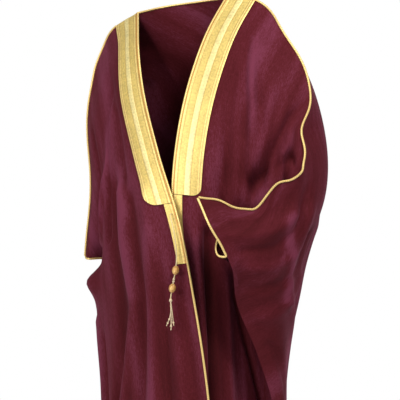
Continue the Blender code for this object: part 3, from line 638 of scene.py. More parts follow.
# Each fold: width and depth in metres, then points on the cloth as shares across and down.
# Depth is positive for a ridge and negative for a trough.
RIGHT_FRONT_FOLDS = (
    (0.022, 0.017, (0.285, 0.27), (0.345, 0.36), (0.345, 0.475), (0.45, 0.545), (0.56, 0.64),
     (0.62, 1.05)),
    (0.030, -0.022, (0.36, 0.24), (0.44, 0.33), (0.46, 0.46), (0.55, 0.56), (0.68, 0.66),
     (0.75, 1.05)),
    (0.020, 0.015, (0.12, 0.31), (0.155, 0.37), (0.19, 0.415), (0.225, 0.48), (0.27, 0.56),
     (0.31, 0.64), (0.38, 1.05)),
    (0.015, -0.013, (0.22, 0.30), (0.25, 0.37), (0.275, 0.47), (0.34, 0.56), (0.40, 0.65),
     (0.47, 1.05)),
    (0.006, -0.006, (0.15, 0.465), (0.18, 0.56), (0.20, 0.64), (0.25, 1.05)),
    (0.014, 0.009, (0.09, 0.42), (0.12, 0.56), (0.14, 0.66), (0.17, 1.05)),
    (0.018, -0.011, (0.05, 0.46), (0.07, 0.60), (0.08, 1.05)),
    (0.024, 0.015, (0.24, 0.14), (0.40, 0.19), (0.62, 0.17), (0.86, 0.14)),
    (0.013, -0.011, (0.24, 0.11), (0.32, 0.16), (0.44, 0.23), (0.50, 0.30)),
    (0.016, -0.009, (0.21, 0.08), (0.20, 0.16), (0.24, 0.26)),
    (0.016, -0.011, (0.50, 0.06), (0.60, 0.12), (0.78, 0.11)),
    (0.026, 0.018, (0.88, 0.34), (0.87, 0.60), (0.86, 1.05)),
    (0.016, -0.015, (0.80, 0.42), (0.82, 0.66), (0.80, 1.05)),
)
LEFT_FRONT_FOLDS = (
    (0.012, -0.011, (0.14, 0.12), (0.16, 0.18), (0.20, 0.24), (0.24, 0.29)),
    (0.012, -0.009, (0.13, 0.05), (0.18, 0.10), (0.225, 0.14), (0.25, 0.18)),
    (0.017, 0.012, (0.17, 0.05), (0.23, 0.11), (0.29, 0.16), (0.32, 0.21)),
    (0.008, -0.008, (0.225, 0.07), (0.28, 0.115)),
    (0.010, -0.010, (0.21, 0.035), (0.28, 0.012)),
    (0.014, -0.022, (0.47, 0.03), (0.46, 0.09), (0.405, 0.15), (0.40, 0.19), (0.36, 0.235)),
    (0.018, 0.012, (0.54, 0.03), (0.52, 0.08), (0.49, 0.11)),
    (0.009, -0.012, (0.40, 0.19), (0.48, 0.125), (0.60, 0.055)),
    (0.020, 0.015, (0.24, 0.29), (0.34, 0.265), (0.44, 0.215), (0.54, 0.14)),
    (0.014, 0.009, (0.33, 0.08), (0.36, 0.13), (0.345, 0.19)),
    (0.010, -0.008, (0.19, 0.28), (0.24, 0.325)),
    (0.010, -0.007, (0.62, 0.09), (0.57, 0.14), (0.52, 0.19)),
    (0.014, 0.012, (0.10, 0.40), (0.10, 0.50), (0.115, 0.57), (0.12, 0.64), (0.14, 1.05)),
    (0.017, -0.036, (0.17, 0.38), (0.165, 0.49), (0.165, 0.57), (0.165, 0.64), (0.19, 1.05)),
    (0.026, 0.020, (0.28, 0.43), (0.30, 0.47), (0.33, 0.56), (0.34, 0.64), (0.36, 1.05)),
    (0.014, -0.018, (0.36, 0.45), (0.48, 0.50), (0.62, 0.54), (0.72, 0.57)),
    (0.016, -0.012, (0.46, 0.60), (0.50, 0.72), (0.52, 1.05)),
    (0.020, 0.015, (0.66, 0.66), (0.72, 1.05)),
)
BACK_FOLDS = (
    (0.036, 0.021, (0.12, 0.34), (0.13, 1.05)),
    (0.026, -0.021, (0.20, 0.24), (0.19, 0.50), (0.21, 1.05)),
    (0.040, 0.027, (0.28, 0.20), (0.27, 0.60), (0.29, 1.05)),
    (0.030, -0.024, (0.36, 0.30), (0.34, 0.62), (0.37, 1.05)),
    (0.040, 0.024, (0.44, 0.12), (0.43, 0.55), (0.44, 1.05)),
    (0.028, -0.024, (0.51, 0.26), (0.50, 0.60), (0.51, 1.05)),
    (0.040, 0.027, (0.58, 0.16), (0.59, 0.60), (0.58, 1.05)),
    (0.026, -0.021, (0.65, 0.32), (0.67, 0.66), (0.65, 1.05)),
    (0.036, 0.024, (0.72, 0.22), (0.73, 0.60), (0.72, 1.05)),
    (0.024, -0.021, (0.80, 0.16), (0.79, 0.60), (0.79, 1.05)),
    (0.026, 0.015, (0.87, 0.28), (0.86, 1.05)),
    (0.010, -0.009, (0.24, 0.50), (0.24, 1.05)),
    (0.011, 0.009, (0.40, 0.42), (0.395, 1.05)),
    (0.010, -0.009, (0.475, 0.55), (0.47, 1.05)),
    (0.010, 0.009, (0.545, 0.48), (0.55, 1.05)),
    (0.010, -0.009, (0.62, 0.60), (0.615, 1.05)),
    (0.020, -0.013, (0.33, 0.06), (0.25, 0.13), (0.16, 0.16)),
    (0.018, -0.012, (0.55, 0.06), (0.62, 0.12), (0.72, 0.14)),
    (0.016, 0.011, (0.30, 0.10), (0.24, 0.20), (0.20, 0.24)),
    (0.009, -0.007, (0.985, 0.045), (0.955, 0.035), (0.91, 0.025), (0.875, 0.02)),
    (0.014, 0.009, (0.975, 0.075), (0.94, 0.062), (0.90, 0.055), (0.87, 0.045)),
    (0.012, -0.009, (0.98, 0.11), (0.95, 0.10), (0.91, 0.09), (0.87, 0.07), (0.84, 0.03)),
    (0.016, 0.011, (0.97, 0.15), (0.94, 0.14), (0.905, 0.13), (0.87, 0.11), (0.84, 0.06)),
    (0.013, -0.009, (0.975, 0.20), (0.95, 0.19), (0.91, 0.175), (0.865, 0.16), (0.83, 0.11)),
    (0.020, 0.009, (0.96, 0.27), (0.93, 0.255), (0.89, 0.235), (0.85, 0.20)),
    (0.012, 0.009, (0.872, 0.045), (0.885, 0.10), (0.895, 0.15), (0.90, 0.235)),
    (0.014, -0.011, (0.96, 0.34), (0.94, 0.46), (0.93, 0.60), (0.93, 1.05)),
)

# Where folds fade out. Columns: share down from the seam, then shares in from the first column
# and from the last column of the grid. Below the band the front edge hangs free, and folds
# run nearly up to it.
RIGHT_FRONT_HELD = (0.06, 0.20, 0.07)
LEFT_FRONT_HELD = (0.06, 0.18, 0.07)
BACK_HELD = (0.05, 0.04, 0.03)
FREE_EDGE = 0.25

# Painted light and shade on the wool: a painted glow where a single thin layer would let light
# through, and painted shade in recesses and where layers lie over each other. The same columns as
# the folds, with tone in place of depth.
RIGHT_PAINTED_LIGHT_MARKS = (
    (0.022, 0.020, (0.27, 0.24), (0.335, 0.35), (0.345, 0.45)),
    (0.018, 0.013, (0.16, 0.37), (0.20, 0.415), (0.23, 0.48), (0.27, 0.56), (0.31, 0.64)),
    (0.030, -0.008, (0.42, 0.30), (0.46, 0.42), (0.55, 0.52)),
    (0.012, 0.012, (0.33, 0.14), (0.42, 0.19), (0.50, 0.22)),
    (0.080, 0.008, (0.30, 0.04), (0.36, 0.14), (0.36, 0.26)),
    (0.035, 0.016, (0.70, 0.07), (0.84, 0.07), (0.97, 0.07)),
    (0.030, 0.013, (0.36, 0.15), (0.33, 0.24), (0.29, 0.31)),
    (0.080, -0.009, (0.36, 0.45), (0.33, 0.56), (0.32, 1.05)),
)
LEFT_PAINTED_LIGHT_MARKS = (
    (0.030, 0.008, (0.22, 0.08), (0.28, 0.15)),
    (0.016, 0.009, (0.30, 0.26), (0.42, 0.21)),
    (0.060, -0.012, (0.34, 0.48), (0.40, 0.66)),
    (0.022, -0.020, (0.165, 0.42), (0.165, 0.64), (0.19, 1.05)),
    (0.050, 0.006, (0.24, 0.03), (0.34, 0.08)),
)
BACK_PAINTED_LIGHT_MARKS = (
    (0.013, 0.030, (0.882, 0.045), (0.886, 0.09), (0.895, 0.15), (0.912, 0.225)),
    (0.050, -0.014, (0.975, 0.050), (0.935, 0.065), (0.90, 0.055)),
    (0.090, -0.006, (0.95, 0.08), (0.95, 0.20), (0.94, 0.36)),
)

# Places where the cloth is drawn in or stands out. Columns: x, y, z of the place, its reach,
# then the move along x, y, z, all in metres.
DRAWS = (
    (0.318, -0.066, -0.310, 0.044, -0.020, -0.010, 0.0),
    (0.296, -0.107, -0.415, 0.026, 0.012, 0.005, 0.006),
    (0.267, -0.142, -0.454, 0.034, 0.0, 0.0, 0.020),
    (0.232, -0.180, -0.482, 0.022, 0.0, 0.0, -0.008),
    (0.168, -0.236, -0.480, 0.030, 0.0, 0.0, 0.009),
    (0.250, -0.024, -0.090, 0.060, -0.009, -0.004, 0.0),
    (0.193, -0.240, -0.590, 0.024, 0.002, 0.001, -0.015),
    (-0.232, -0.045, -0.668, 0.034, -0.030, -0.013, 0.0),
    (0.105, -0.195, -0.840, 0.240, 0.006, 0.003, 0.0),
    (-0.245, -0.020, -0.705, 0.045, -0.008, -0.004, 0.0),
    (-0.212, 0.0, -0.055, 0.055, -0.013, -0.005, 0.006),
    (-0.254, 0.0, -0.130, 0.050, -0.008, -0.003, 0.0),
    (-0.294, 0.0, -0.450, 0.110, 0.011, 0.004, 0.0),
    (0.270, 0.080, -0.590, 0.100, -0.010, -0.004, 0.0),
    (0.225, 0.110, -0.900, 0.270, -0.018, -0.008, 0.0),
)
CUFF_DRAWS = ((0.180, -0.232, -0.584, 0.032, -0.018, -0.008, 0.0),)


def nearest_on_line(place, points):
    """Distance from places to a line of points, and the share of the way along it."""
    lengths = np.linalg.norm(np.diff(points, axis=0), axis=1)
    starts = np.concatenate(([0.0], np.cumsum(lengths)))
    best = np.full(place.shape[:-1], np.inf)
    share = np.zeros(place.shape[:-1])
    for start, end, length, before in zip(points, points[1:], lengths, starts):
        run = end - start
        along = np.clip((place - start) @ run / (run @ run), 0.0, 1.0)
        away = np.linalg.norm(place - start - along[..., None] * run, axis=-1)
        closer = away < best
        best = np.where(closer, away, best)
        share = np.where(closer, (before + along * length) / starts[-1], share)
    return best, share


def sum_of_lines(grid, table, start):
    """Heights over a grid of all the soft lines in a table, which begin at a share of them."""
    shares = distances(grid)
    width = shares[:, -1].mean()
    shares = shares / shares[:, -1:]
    down = np.repeat(ROWS[:, None], grid.shape[1], axis=1)
    place = np.stack((shares * width, down * FULL_DROP), -1)
    heights = np.zeros(grid.shape[:2])
    for breadth, depth, *points in table:
        away, along = nearest_on_line(place, np.array(points) * (width, FULL_DROP))
        heights += depth * (start + (1 - start) * along) * np.exp(-(away / breadth)**2)
    return heights, shares, down


def add_folds(grid, folds, side, held):
    """Push ridges and troughs along the normals, fading out at the edges that are held."""
    push, shares, down = sum_of_lines(grid, folds, FOLD_START)
    held_edge = held[1] * np.interp(down, (BAND_END, BAND_END + 0.10), (1.0, FREE_EDGE))
    fade = np.clip(down / held[0], 0.0, 1.0)
    fade *= np.clip(shares / held_edge, 0.0, 1.0) * np.clip((1 - shares) / held[2], 0.0, 1.0)
    fade = fade * fade * (3 - 2 * fade)
    return grid + normals(grid, side) * (push * fade)[..., None], push * fade


def draw_cloth(grid, draws):
    """Move the cloth near each place, less and less away from it."""
    for x, y, z, reach, *move in draws:
        away = np.linalg.norm(grid - (x, y, z), axis=-1, keepdims=True)
        grid = grid + np.exp(-(away / reach)**2) * move
    return grid


def build_panels():
    """The three panels as middle surfaces with outward directions and their painted light and
    shade.
    """
    right = front_grid(RIGHT_FRONT, COLUMNS_RIGHT)
    left = front_grid(LEFT_FRONT, COLUMNS_LEFT)
    back = back_grid(right, left)
    right, right_painted_light = add_folds(right, RIGHT_FRONT_FOLDS, 1, RIGHT_FRONT_HELD)
    left, left_painted_light = add_folds(left, LEFT_FRONT_FOLDS, -1, LEFT_FRONT_HELD)
    back, back_painted_light = add_folds(back, BACK_FOLDS, 1, BACK_HELD)
    # Painted light and shade: the fold heights, with the painted marks below, are kept to paint
    # the wool paler on crests and darker in troughs
    right_painted_light += sum_of_lines(right, RIGHT_PAINTED_LIGHT_MARKS, 1.0)[0]
    left_painted_light += sum_of_lines(left, LEFT_PAINTED_LIGHT_MARKS, 1.0)[0]
    back_painted_light += sum_of_lines(back, BACK_PAINTED_LIGHT_MARKS, 1.0)[0]
    right, left, back = (draw_cloth(grid, DRAWS) for grid in (right, left, back))
    above_corner = np.clip((CUFF_ROW - np.arange(len(ROWS))) / 2, 0.0, 1.0)[:, None, None]
    left = left + (draw_cloth(left, CUFF_DRAWS) - left) * above_corner
    right_neck = COLUMNS_RIGHT
    left_neck = COLUMNS_RIGHT + COLUMNS_NECK
    back[0, :right_neck + 1] = right[0, ::-1]
    back[0, left_neck:] = left[0]
    back[CUFF_ROW:, 0] = right[CUFF_ROW:, -1]
    back[CUFF_ROW:, -1] = left[CUFF_ROW:, -1]
    panels = {"right": {"middle": right, "out": normals(right, 1), "painted_light": right_painted_light},
              "left": {"middle": left, "out": normals(left, -1), "painted_light": left_painted_light},
              "back": {"middle": back, "out": normals(back, 1), "painted_light": back_painted_light}}
    share_normals(panels["right"], (0, slice(None)), panels["back"],
                  (0, slice(right_neck, None, -1)))
    share_normals(panels["left"], (0, slice(None)), panels["back"], (0, slice(left_neck, None)))
    return panels


def share_normals(front, front_line, back, back_line):
    """Give both sides of a seam the mean of their outward directions."""
    shared = unit(front["out"][front_line] + back["out"][back_line])
    front["out"][front_line] = shared
    back["out"][back_line] = shared


panels = build_panels()
for name, panel in panels.items():
    print(name, "grid", panel["middle"].shape[:2])

# %% [markdown]
# Each panel becomes a thin shell, a single layer of cloth. Its size is printed beside the size it
# was cut to, so that its hang can be compared with its cut.

# %% The three cloth panels


def grid_faces(height, width):
    """Square faces between the rows and columns of a grid."""
    index = np.arange(height * width).reshape(height, width)
    corners = (index[:-1, :-1], index[:-1, 1:], index[1:, 1:], index[1:, :-1])
    return np.stack(corners, axis=-1).reshape(-1, 4).tolist()


def cut_measures(grid):
    """Distance across and down the cloth for every point, as on the cutting table."""
    across = distances(grid)
    down = distances(np.swapaxes(grid, 0, 1)).T
    return np.stack((across, down), axis=-1).reshape(-1, 2)


def cloth_area(grid):
    """Area of a grid's surface in square metres."""
    first = np.cross(grid[1:, 1:] - grid[:-1, :-1], grid[1:, :-1] - grid[:-1, 1:])
    return float(np.linalg.norm(first, axis=-1).sum() / 2)


def add_cloth(name, node, panel, cut):
    """One panel of wool as a thin sheet that stands for its solid."""
    grid = panel["middle"]
    piece = add_piece(name, grid.reshape(-1, 3), grid_faces(*grid.shape[:2]), wool,
                      cut_measures(grid))
    # Painted light and shade: the fold heights and marks, scaled, become paler crests and darker
    # troughs in the wool's colour
    tone = (panel["painted_light"] * PAINTED_LIGHT_STRENGTH).reshape(-1)
    store_pairs(piece.data, "painted_light_map", np.stack((tone, np.zeros_like(tone)), axis=-1))
    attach(piece, "root")
    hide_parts(node)
    widest = distances(grid)[:, -1].max()
    longest = distances(np.swapaxes(grid, 0, 1))[:, -1].max()
    print(name, "surface", round(cloth_area(grid), 3), "widest", round(widest, 3), "longest",
          round(longest, 3), "cut", cut)
    return piece


# Cut of each panel. Columns: widest, longest, flat area, in metres and square metres.
RIGHT_CUT = (0.83, 1.47, 0.58)
LEFT_CUT = (0.83, 1.47, 0.58)
BACK_CUT = (1.84, 1.48, 1.34)
add_cloth("right_front_cloth", "front_right", panels["right"], RIGHT_CUT)
add_cloth("left_front_cloth", "front_left", panels["left"], LEFT_CUT)
add_cloth("back_cloth", "back", panels["back"], BACK_CUT)

# %% [markdown]
# The gold bands are woven strips of metal thread, sewn flat along the front edges and round
# the neck. They are stiffer than the wool and slightly padded, so their stripes stand up.
# A band is laid on the cloth by reading the cloth's own points at set distances from its
# edge, and moving them out along its normals. Its foot is cut in a round corner.

# %% Laying a band on the cloth
BAND_STEPS = 34
# Shares of the full drop by which the band and the strip end early, and the gap between them
FOOT_TRIM = 0.010
STRIP_TRIM = 0.008
STRIP_GAP = 0.0008
BAND_THICKNESS = 0.0011
CORNER_RADIUS = 0.026
# Share of the band's stripes that the strip shows
STRIP_STRIPES = 0.40
STRIP_STEPS = 10
STRIP_ROWS = 60
NECK_TURN_ROWS = 24
NECK_ROWS = 120
# Degrees above which an edge of the braid is sharp
BRAID_CREASE = 50
# Relief across the band. Columns: share of the width, height in metres.
BAND_RELIEF = ((0.00, 0.0006), (0.04, 0.0012), (0.06, 0.0003), (0.08, 0.0009), (0.13, 0.0009),
               (0.15, 0.0003), (0.18, 0.0006), (0.35, 0.0006), (0.38, 0.0003), (0.41, 0.0010),
               (0.57, 0.0010), (0.60, 0.0003), (0.63, 0.0006), (0.81, 0.0006), (0.83, 0.0002),
               (0.86, 0.0009), (0.89, 0.0009), (0.91, 0.0003), (0.94, 0.0010), (0.98, 0.0010),
               (1.00, 0.0002))


def read_grid(values, rows, columns):
    """Values of a grid at fractional rows and columns."""
    rows = np.clip(rows, 0, values.shape[0] - 1.000001)
    columns = np.clip(columns, 0, values.shape[1] - 1.000001)
    row, column = rows.astype(int), columns.astype(int)
    down, across = (rows - row)[..., None], (columns - column)[..., None]
    upper = values[row, column] * (1 - across) + values[row, column + 1] * across
    lower = values[row + 1, column] * (1 - across) + values[row + 1, column + 1] * across
    return upper * (1 - down) + lower * down


def lay_strip(name, node, panel, rows, columns, across, along):
    """A closed strip of braid over a panel, from places on its grid and their measures."""
    middle = read_grid(panel["middle"], rows, columns)
    out = unit(read_grid(panel["out"], rows, columns))
    shares, heights = zip(*BAND_RELIEF)
    relief = np.interp(across / BAND_WIDTH, shares, heights)[..., None]
    top = middle + out * (BRAID_SEAT + BAND_THICKNESS + relief)
    bottom = middle + out * BRAID_SEAT
    height, width = rows.shape
    count = height * width
    faces = np.array(grid_faces(height, width))
    rim = [*range(width), *range(2 * width - 1, count, width)]
    rim += [*range(count - 2, count - width - 1, -1), *range(count - 2 * width, 0, -width)]
    sides = [(here, there, there + count, here + count)
             for here, there in zip(rim, rim[1:] + rim[:1])]
    points = np.concatenate((top.reshape(-1, 3), bottom.reshape(-1, 3)))
    measures = np.stack((across, along), axis=-1).reshape(-1, 2)
    piece = add_piece(name, points, faces.tolist() + (faces[:, ::-1] + count).tolist() + sides,
                      braid, np.concatenate((measures, measures)))
    mend_normals(piece)
    piece.data.set_sharp_from_angle(angle=math.radians(BRAID_CREASE))
    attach(piece, "root")
    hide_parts(node)
    return piece


def mend_normals(piece):
    """Turn every face of a closed piece outward."""
    shape = bmesh.new()
    shape.from_mesh(piece.data)
    bmesh.ops.recalc_face_normals(shape, faces=shape.faces)
    shape.to_mesh(piece.data)
    shape.free()


def row_at(share):
    """Fractional row of the grid at a share of the way down."""
    return np.interp(share, ROWS, np.arange(len(ROWS)))


def lay_front_band(side, panel):
    """The wide band on one front, with its outer foot corner cut round."""
    across = np.linspace(0.0, BAND_WIDTH, BAND_STEPS + 1)
    past_corner = np.clip(across - (BAND_WIDTH - CORNER_RADIUS), 0.0, CORNER_RADIUS)
    cut = CORNER_RADIUS - np.sqrt(CORNER_RADIUS**2 - past_corner**2)
    ends = BAND_END - FOOT_TRIM - cut / FULL_DROP
    steps = np.linspace(0.0, 1.0, 3 * BAND_ROW + 1)
    shares = steps[:, None] * ends
    rows = row_at(shares)
    columns = np.repeat(across[None] / BAND_WIDTH * COLUMNS_IN_BAND, len(steps), axis=0)
    along = shares * FULL_DROP
    return lay_strip(f"{side}_band", f"band_{side}", panel, rows, columns,
                     np.repeat(across[None], len(steps), axis=0), along)


def lay_front_strip(side, panel):
    """The narrow strip that goes on down the front edge from the foot of the band."""
    across = np.linspace(0.0, STRIP_WIDTH, STRIP_STEPS)
    shares = np.linspace(BAND_END - FOOT_TRIM + STRIP_GAP, STRIP_END - STRIP_TRIM, STRIP_ROWS)
    rows, places = np.meshgrid(row_at(shares), across, indexing="ij")
    along = np.repeat(shares[:, None] * FULL_DROP, len(across), axis=1)
    columns = places / BAND_WIDTH * COLUMNS_IN_BAND
    return lay_strip(f"{side}_strip", f"strip_{side}", panel, rows, columns,
                     places * BAND_WIDTH / STRIP_WIDTH * STRIP_STRIPES, along)


def lay_neck_band(panel):
    """The band round the back of the neck, which turns about each neck point."""
    turn = np.linspace(0.0, math.pi / 2, NECK_TURN_ROWS)
    neck = np.linspace(COLUMNS_RIGHT, COLUMNS_RIGHT + COLUMNS_NECK, NECK_ROWS)
    across = np.linspace(0.0, BAND_WIDTH, BAND_STEPS + 1)
    step_right = np.linalg.norm(panel["middle"][0, COLUMNS_RIGHT - 1]
                                - panel["middle"][0, COLUMNS_RIGHT])
    step_left = np.linalg.norm(panel["middle"][0, COLUMNS_RIGHT + COLUMNS_NECK + 1]
                               - panel["middle"][0, COLUMNS_RIGHT + COLUMNS_NECK])
    aside = np.concatenate((-np.cos(turn[:-1]), np.zeros(len(neck)), np.cos(turn[::-1][1:])))
    down = np.concatenate((np.sin(turn[:-1]), np.ones(len(neck)), np.sin(turn[::-1][1:])))
    first = np.full(len(turn) - 1, neck[0])
    last = np.full(len(turn) - 1, neck[-1])
    start = np.concatenate((first, neck, last))
    step = np.where(aside < 0, step_right, step_left)
    columns = start[:, None] + (aside / step)[:, None] * across
    rows = row_at(down[:, None] * across / FULL_DROP)
    middle_line = read_grid(panel["middle"], rows, columns)[:, len(across) // 2]
    along = np.repeat(distances(middle_line)[:, None], len(across), axis=1)
    return lay_strip("neck_band", "band_neck", panel, rows, columns,
                     np.repeat(across[None], len(start), axis=0), along)


for side in ("right", "left"):
    lay_front_band(side, panels[side])
    lay_front_strip(side, panels[side])
lay_neck_band(panels["back"])
print("bands laid", BAND_WIDTH * 1000, "mm wide, strips", STRIP_WIDTH * 1000, "mm")

# %% [markdown]
# Every edge and seam is covered with a thin twisted cord of metal thread. Its section has
# three lobes that turn as the cord runs on, which gives real twisted strands. The same helper
# makes the tie cord and the tassel's strands.

# %% Twisted cord
STRANDS = 3
TWIST_PITCH = 0.013
LOBE_DEPTH = 0.16
PIPING_STEP = 0.0016
PIPING_OUTSET = 0.7
SEAM_LIFT = 0.0022
# Rows left out where the piping rounds the cuff's lower corner
CUFF_ROUND = 2


def even_path(path, spacing, closed=False):
    """Points at even spacing on a smooth curve through a path."""
    path = np.asarray(path, float)
    if closed:
        path = np.concatenate((path, path[:1]))
    keys = distances(path)
    count = max(int(keys[-1] / spacing), 8)
    places = np.linspace(0.0, keys[-1], count + 1)
    points = smooth(keys, path, places)
    return points[:-1] if closed else points


def add_twist(name, path, radius, material, closed=False, sides=12, swell=None):
    """A twisted cord along a path, with capped ends unless it is closed."""
    rings = len(path)
    if closed:
        along = unit(np.roll(path, -1, axis=0) - np.roll(path, 1, axis=0))
    else:
        along = unit(np.gradient(path, axis=0))
    run = distances(path)
    turns = 2 * math.pi * STRANDS * run / TWIST_PITCH
    side = unit(np.cross(along[0], (0.31, 0.59, 0.74)))
    points, measures = [], []
    for ring in range(rings):
        side = unit(side - along[ring] * (side @ along[ring]))
        other = np.cross(along[ring], side)
        angles = 2 * math.pi * np.arange(sides + 1) / sides
        thick = radius * (1.0 if swell is None else swell[ring])
        wave = np.cos(STRANDS * angles - turns[ring])
        lobes = thick * (1 - LOBE_DEPTH / 2 + LOBE_DEPTH / 2 * wave)
        points.append(path[ring] + lobes[:, None] * (np.cos(angles)[:, None] * side
                                                     + np.sin(angles)[:, None] * other))
        measures.append(np.stack((angles * radius, np.full(sides + 1, run[ring])), axis=-1))
    faces = grid_faces(rings, sides + 1)
    if closed:
        last = (rings - 1) * (sides + 1)
        faces += [(last + step, last + step + 1, step + 1, step) for step in range(sides)]
    else:
        faces.append(tuple(range(sides, -1, -1)))
        faces.append(tuple(range((rings - 1) * (sides + 1), rings * (sides + 1))))
    return add_piece(name, np.concatenate(points), faces, material, np.concatenate(measures))


def add_piping(name, node, path, closed=False):
    """Piping along an edge or seam, standing for its solid."""
    points = even_path(path, PIPING_STEP, closed)
    piece = add_twist(name, points, PIPING_RADIUS, piping_gold, closed, sides=10)
    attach(piece, "root")
    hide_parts(node)
    print(name, round(float(distances(points)[-1]), 3), "m")
    return piece


def edge_path(panel, line, inner_line):
    """The line just outside a panel's free edge."""
    edge = panel["middle"][line]
    inward = panel["middle"][inner_line] - edge
    along = unit(np.gradient(edge, axis=0))
    inward = unit(inward - along * np.sum(inward * along, axis=-1, keepdims=True))
    return edge - inward * PIPING_RADIUS * PIPING_OUTSET


def cuff_path(front, back, back_line, back_inner):
    """The line round a cuff, down the front half and up the back half."""
    rows = slice(0, CUFF_ROW + 1)
    down = edge_path(front, (rows, -1), (rows, -2))
    rise = edge_path(back, (rows, back_line), (rows, back_inner))
    top = 0.5 * (down[:1] + rise[:1])
    return np.concatenate((top, down[2:-CUFF_ROUND], rise[-CUFF_ROUND - 1:1:-1]))


every_row = slice(None)
for side in ("right", "left"):
    panel = panels[side]
    add_piping(f"{side}_edge_piping", f"edge_piping_{side}",
               edge_path(panel, (every_row, 0), (every_row, 1)))
    seam = panel["middle"][0, COLUMNS_IN_BAND:] + panel["out"][0, COLUMNS_IN_BAND:] * SEAM_LIFT
    add_piping(f"{side}_seam_piping", f"seam_piping_{side}", seam)
neck_edge = slice(COLUMNS_RIGHT, COLUMNS_RIGHT + COLUMNS_NECK + 1)
add_piping("neck_edge_piping", "edge_piping_neck",
           edge_path(panels["back"], (0, neck_edge), (1, neck_edge)))
add_piping("right_cuff_piping", "cuff_piping_right",
           cuff_path(panels["right"], panels["back"], 0, 1), closed=True)
add_piping("left_cuff_piping", "cuff_piping_left",
           cuff_path(panels["left"], panels["back"], -1, -2), closed=True)

# %% [markdown]
# The tie cord hangs from the foot of the right band: a limp twisted cord that passes through
# two wound beads and ends in a few knotted strands. Its whole length shows, so its length is
# the length of its route.

# %% Tie cord
CORD_RADIUS = 0.0014
CORD_STEP = 0.0012
CORD_ROUTE = (
    (0.0414, -0.2077, -0.4986), (0.0409, -0.2136, -0.4990), (0.0425, -0.2185, -0.5050),
    (0.0475, -0.2210, -0.5190), (0.0545, -0.2215, -0.5480), (0.0580, -0.2215, -0.5760),
    (0.0590, -0.2215, -0.6000), (0.0565, -0.2215, -0.6240), (0.0525, -0.2215, -0.6440),
    (0.0485, -0.2215, -0.6640), (0.0455, -0.2215, -0.6790), (0.0445, -0.2215, -0.6880),
)
UPPER_BEAD = 7
LOWER_BEAD = 9
BEAD_RADIUS = 0.0078
BEAD_HEIGHT = 0.019
BEAD_BORE = 0.0020
BEAD_SIDES = 40
# The cord's core runs on inside the tassel, thinner and thinner, as its strands part from it.
CORD_CORE = 0.026
# Outline of a bead from top to foot. Columns: share of the height, share of the radius.
BEAD_OUTLINE = ((0.00, 0.38), (0.03, 0.56), (0.09, 0.66), (0.13, 0.64), (0.17, 0.78),
                (0.30, 0.94), (0.45, 1.00), (0.60, 0.98), (0.75, 0.88), (0.86, 0.74),
                (0.92, 0.66), (0.97, 0.52), (1.00, 0.36))

route = even_path(CORD_ROUTE, CORD_STEP)
core_steps = np.linspace(0.0, CORD_CORE, 20)[1:, None]
core = route[-1] + core_steps * (0.0, 0.0, -1.0)
whole_route = np.concatenate((route, core))
thinning = np.interp(np.arange(len(whole_route)), (len(route), len(whole_route) - 1), (1.0, 0.6))
tie_cord = add_twist("tie_cord_twist", whole_route, CORD_RADIUS, cord_gold, swell=thinning)
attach(tie_cord, "root")
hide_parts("tie_cord")


def add_bead(name, node, place, axis):
    """A turned bead wound with thread, with a bore for the cord."""
    side = unit(np.cross(axis, (0.0, 1.0, 0.0)))
    other = np.cross(axis, side)
    shares, swells = zip(*BEAD_OUTLINE)
    fine = np.linspace(0.0, 1.0, 60)
    outline = smooth(shares, np.array(swells)[:, None], fine)[:, 0] * BEAD_RADIUS
    outline = np.concatenate(([BEAD_BORE], outline, [BEAD_BORE]))
    heights = BEAD_HEIGHT * (0.5 - np.concatenate(([0.0], fine, [1.0])))
    angles = 2 * math.pi * np.arange(BEAD_SIDES + 1) / BEAD_SIDES
    ring = np.cos(angles)[:, None] * side + np.sin(angles)[:, None] * other
    points = place + heights[:, None, None] * axis + outline[:, None, None] * ring
    measures = np.stack(np.broadcast_arrays(angles * BEAD_RADIUS, heights[:, None]), axis=-1)
    piece = add_piece(name, points.reshape(-1, 3), grid_faces(*points.shape[:2]), bead_gold,
                      measures.reshape(-1, 2))
    piece.data.set_sharp_from_angle(angle=math.radians(60))
    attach(piece, "root")
    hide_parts(node)
    return piece


route_points = np.array(CORD_ROUTE)
for name, point in (("upper", UPPER_BEAD), ("lower", LOWER_BEAD)):
    axis = unit(route_points[point - 1] - route_points[point + 1])
    add_bead(f"{name}_bead_turned", f"bead_{name}", route_points[point], axis)

# %% [markdown]
# Two small knots sit between the beads, and below the lower one the cord parts into strands.
# The strands differ in length and bow, and each ends in a knot of its own.

# %% Knots and tassel
TASSEL_DROP = 0.066
KNOT_SWELL = 3.0
STRAND_RADIUS = 0.0009
HEAD_RADIUS = 0.0036
KNOT_RADIUS = 0.0030
BALL_RINGS = 15
BALL_SIDES = 21
# Tassel strands. Columns: aside, forward in metres, share of the drop, share where it bows.
TASSEL_STRANDS = ((-0.0095, -0.0020, 0.86, 0.4), (-0.0040, -0.0045, 0.72, 0.7),
                  (0.0080, -0.0005, 0.84, 0.6), (-0.0010, 0.0030, 1.00, 0.5),
                  (0.0030, -0.0040, 0.97, 0.3))


def add_ball(name, place, radius, tall, material):
    """A knot: a small round of cord, slightly taller than wide."""
    down = np.linspace(0.0, math.pi, BALL_RINGS)
    turn = np.linspace(0.0, 2 * math.pi, BALL_SIDES)
    heights = np.repeat((np.cos(down) * radius * tall)[:, None], BALL_SIDES, axis=1)
    points = np.stack((np.outer(np.sin(down), np.cos(turn)) * radius,
                       np.outer(np.sin(down), np.sin(turn)) * radius, heights), axis=-1)
    measures = np.stack(np.broadcast_arrays(turn * radius, down[:, None] * radius), axis=-1)
    return add_piece(name, (points + place).reshape(-1, 3), grid_faces(BALL_RINGS, BALL_SIDES),
                     material, measures.reshape(-1, 2))


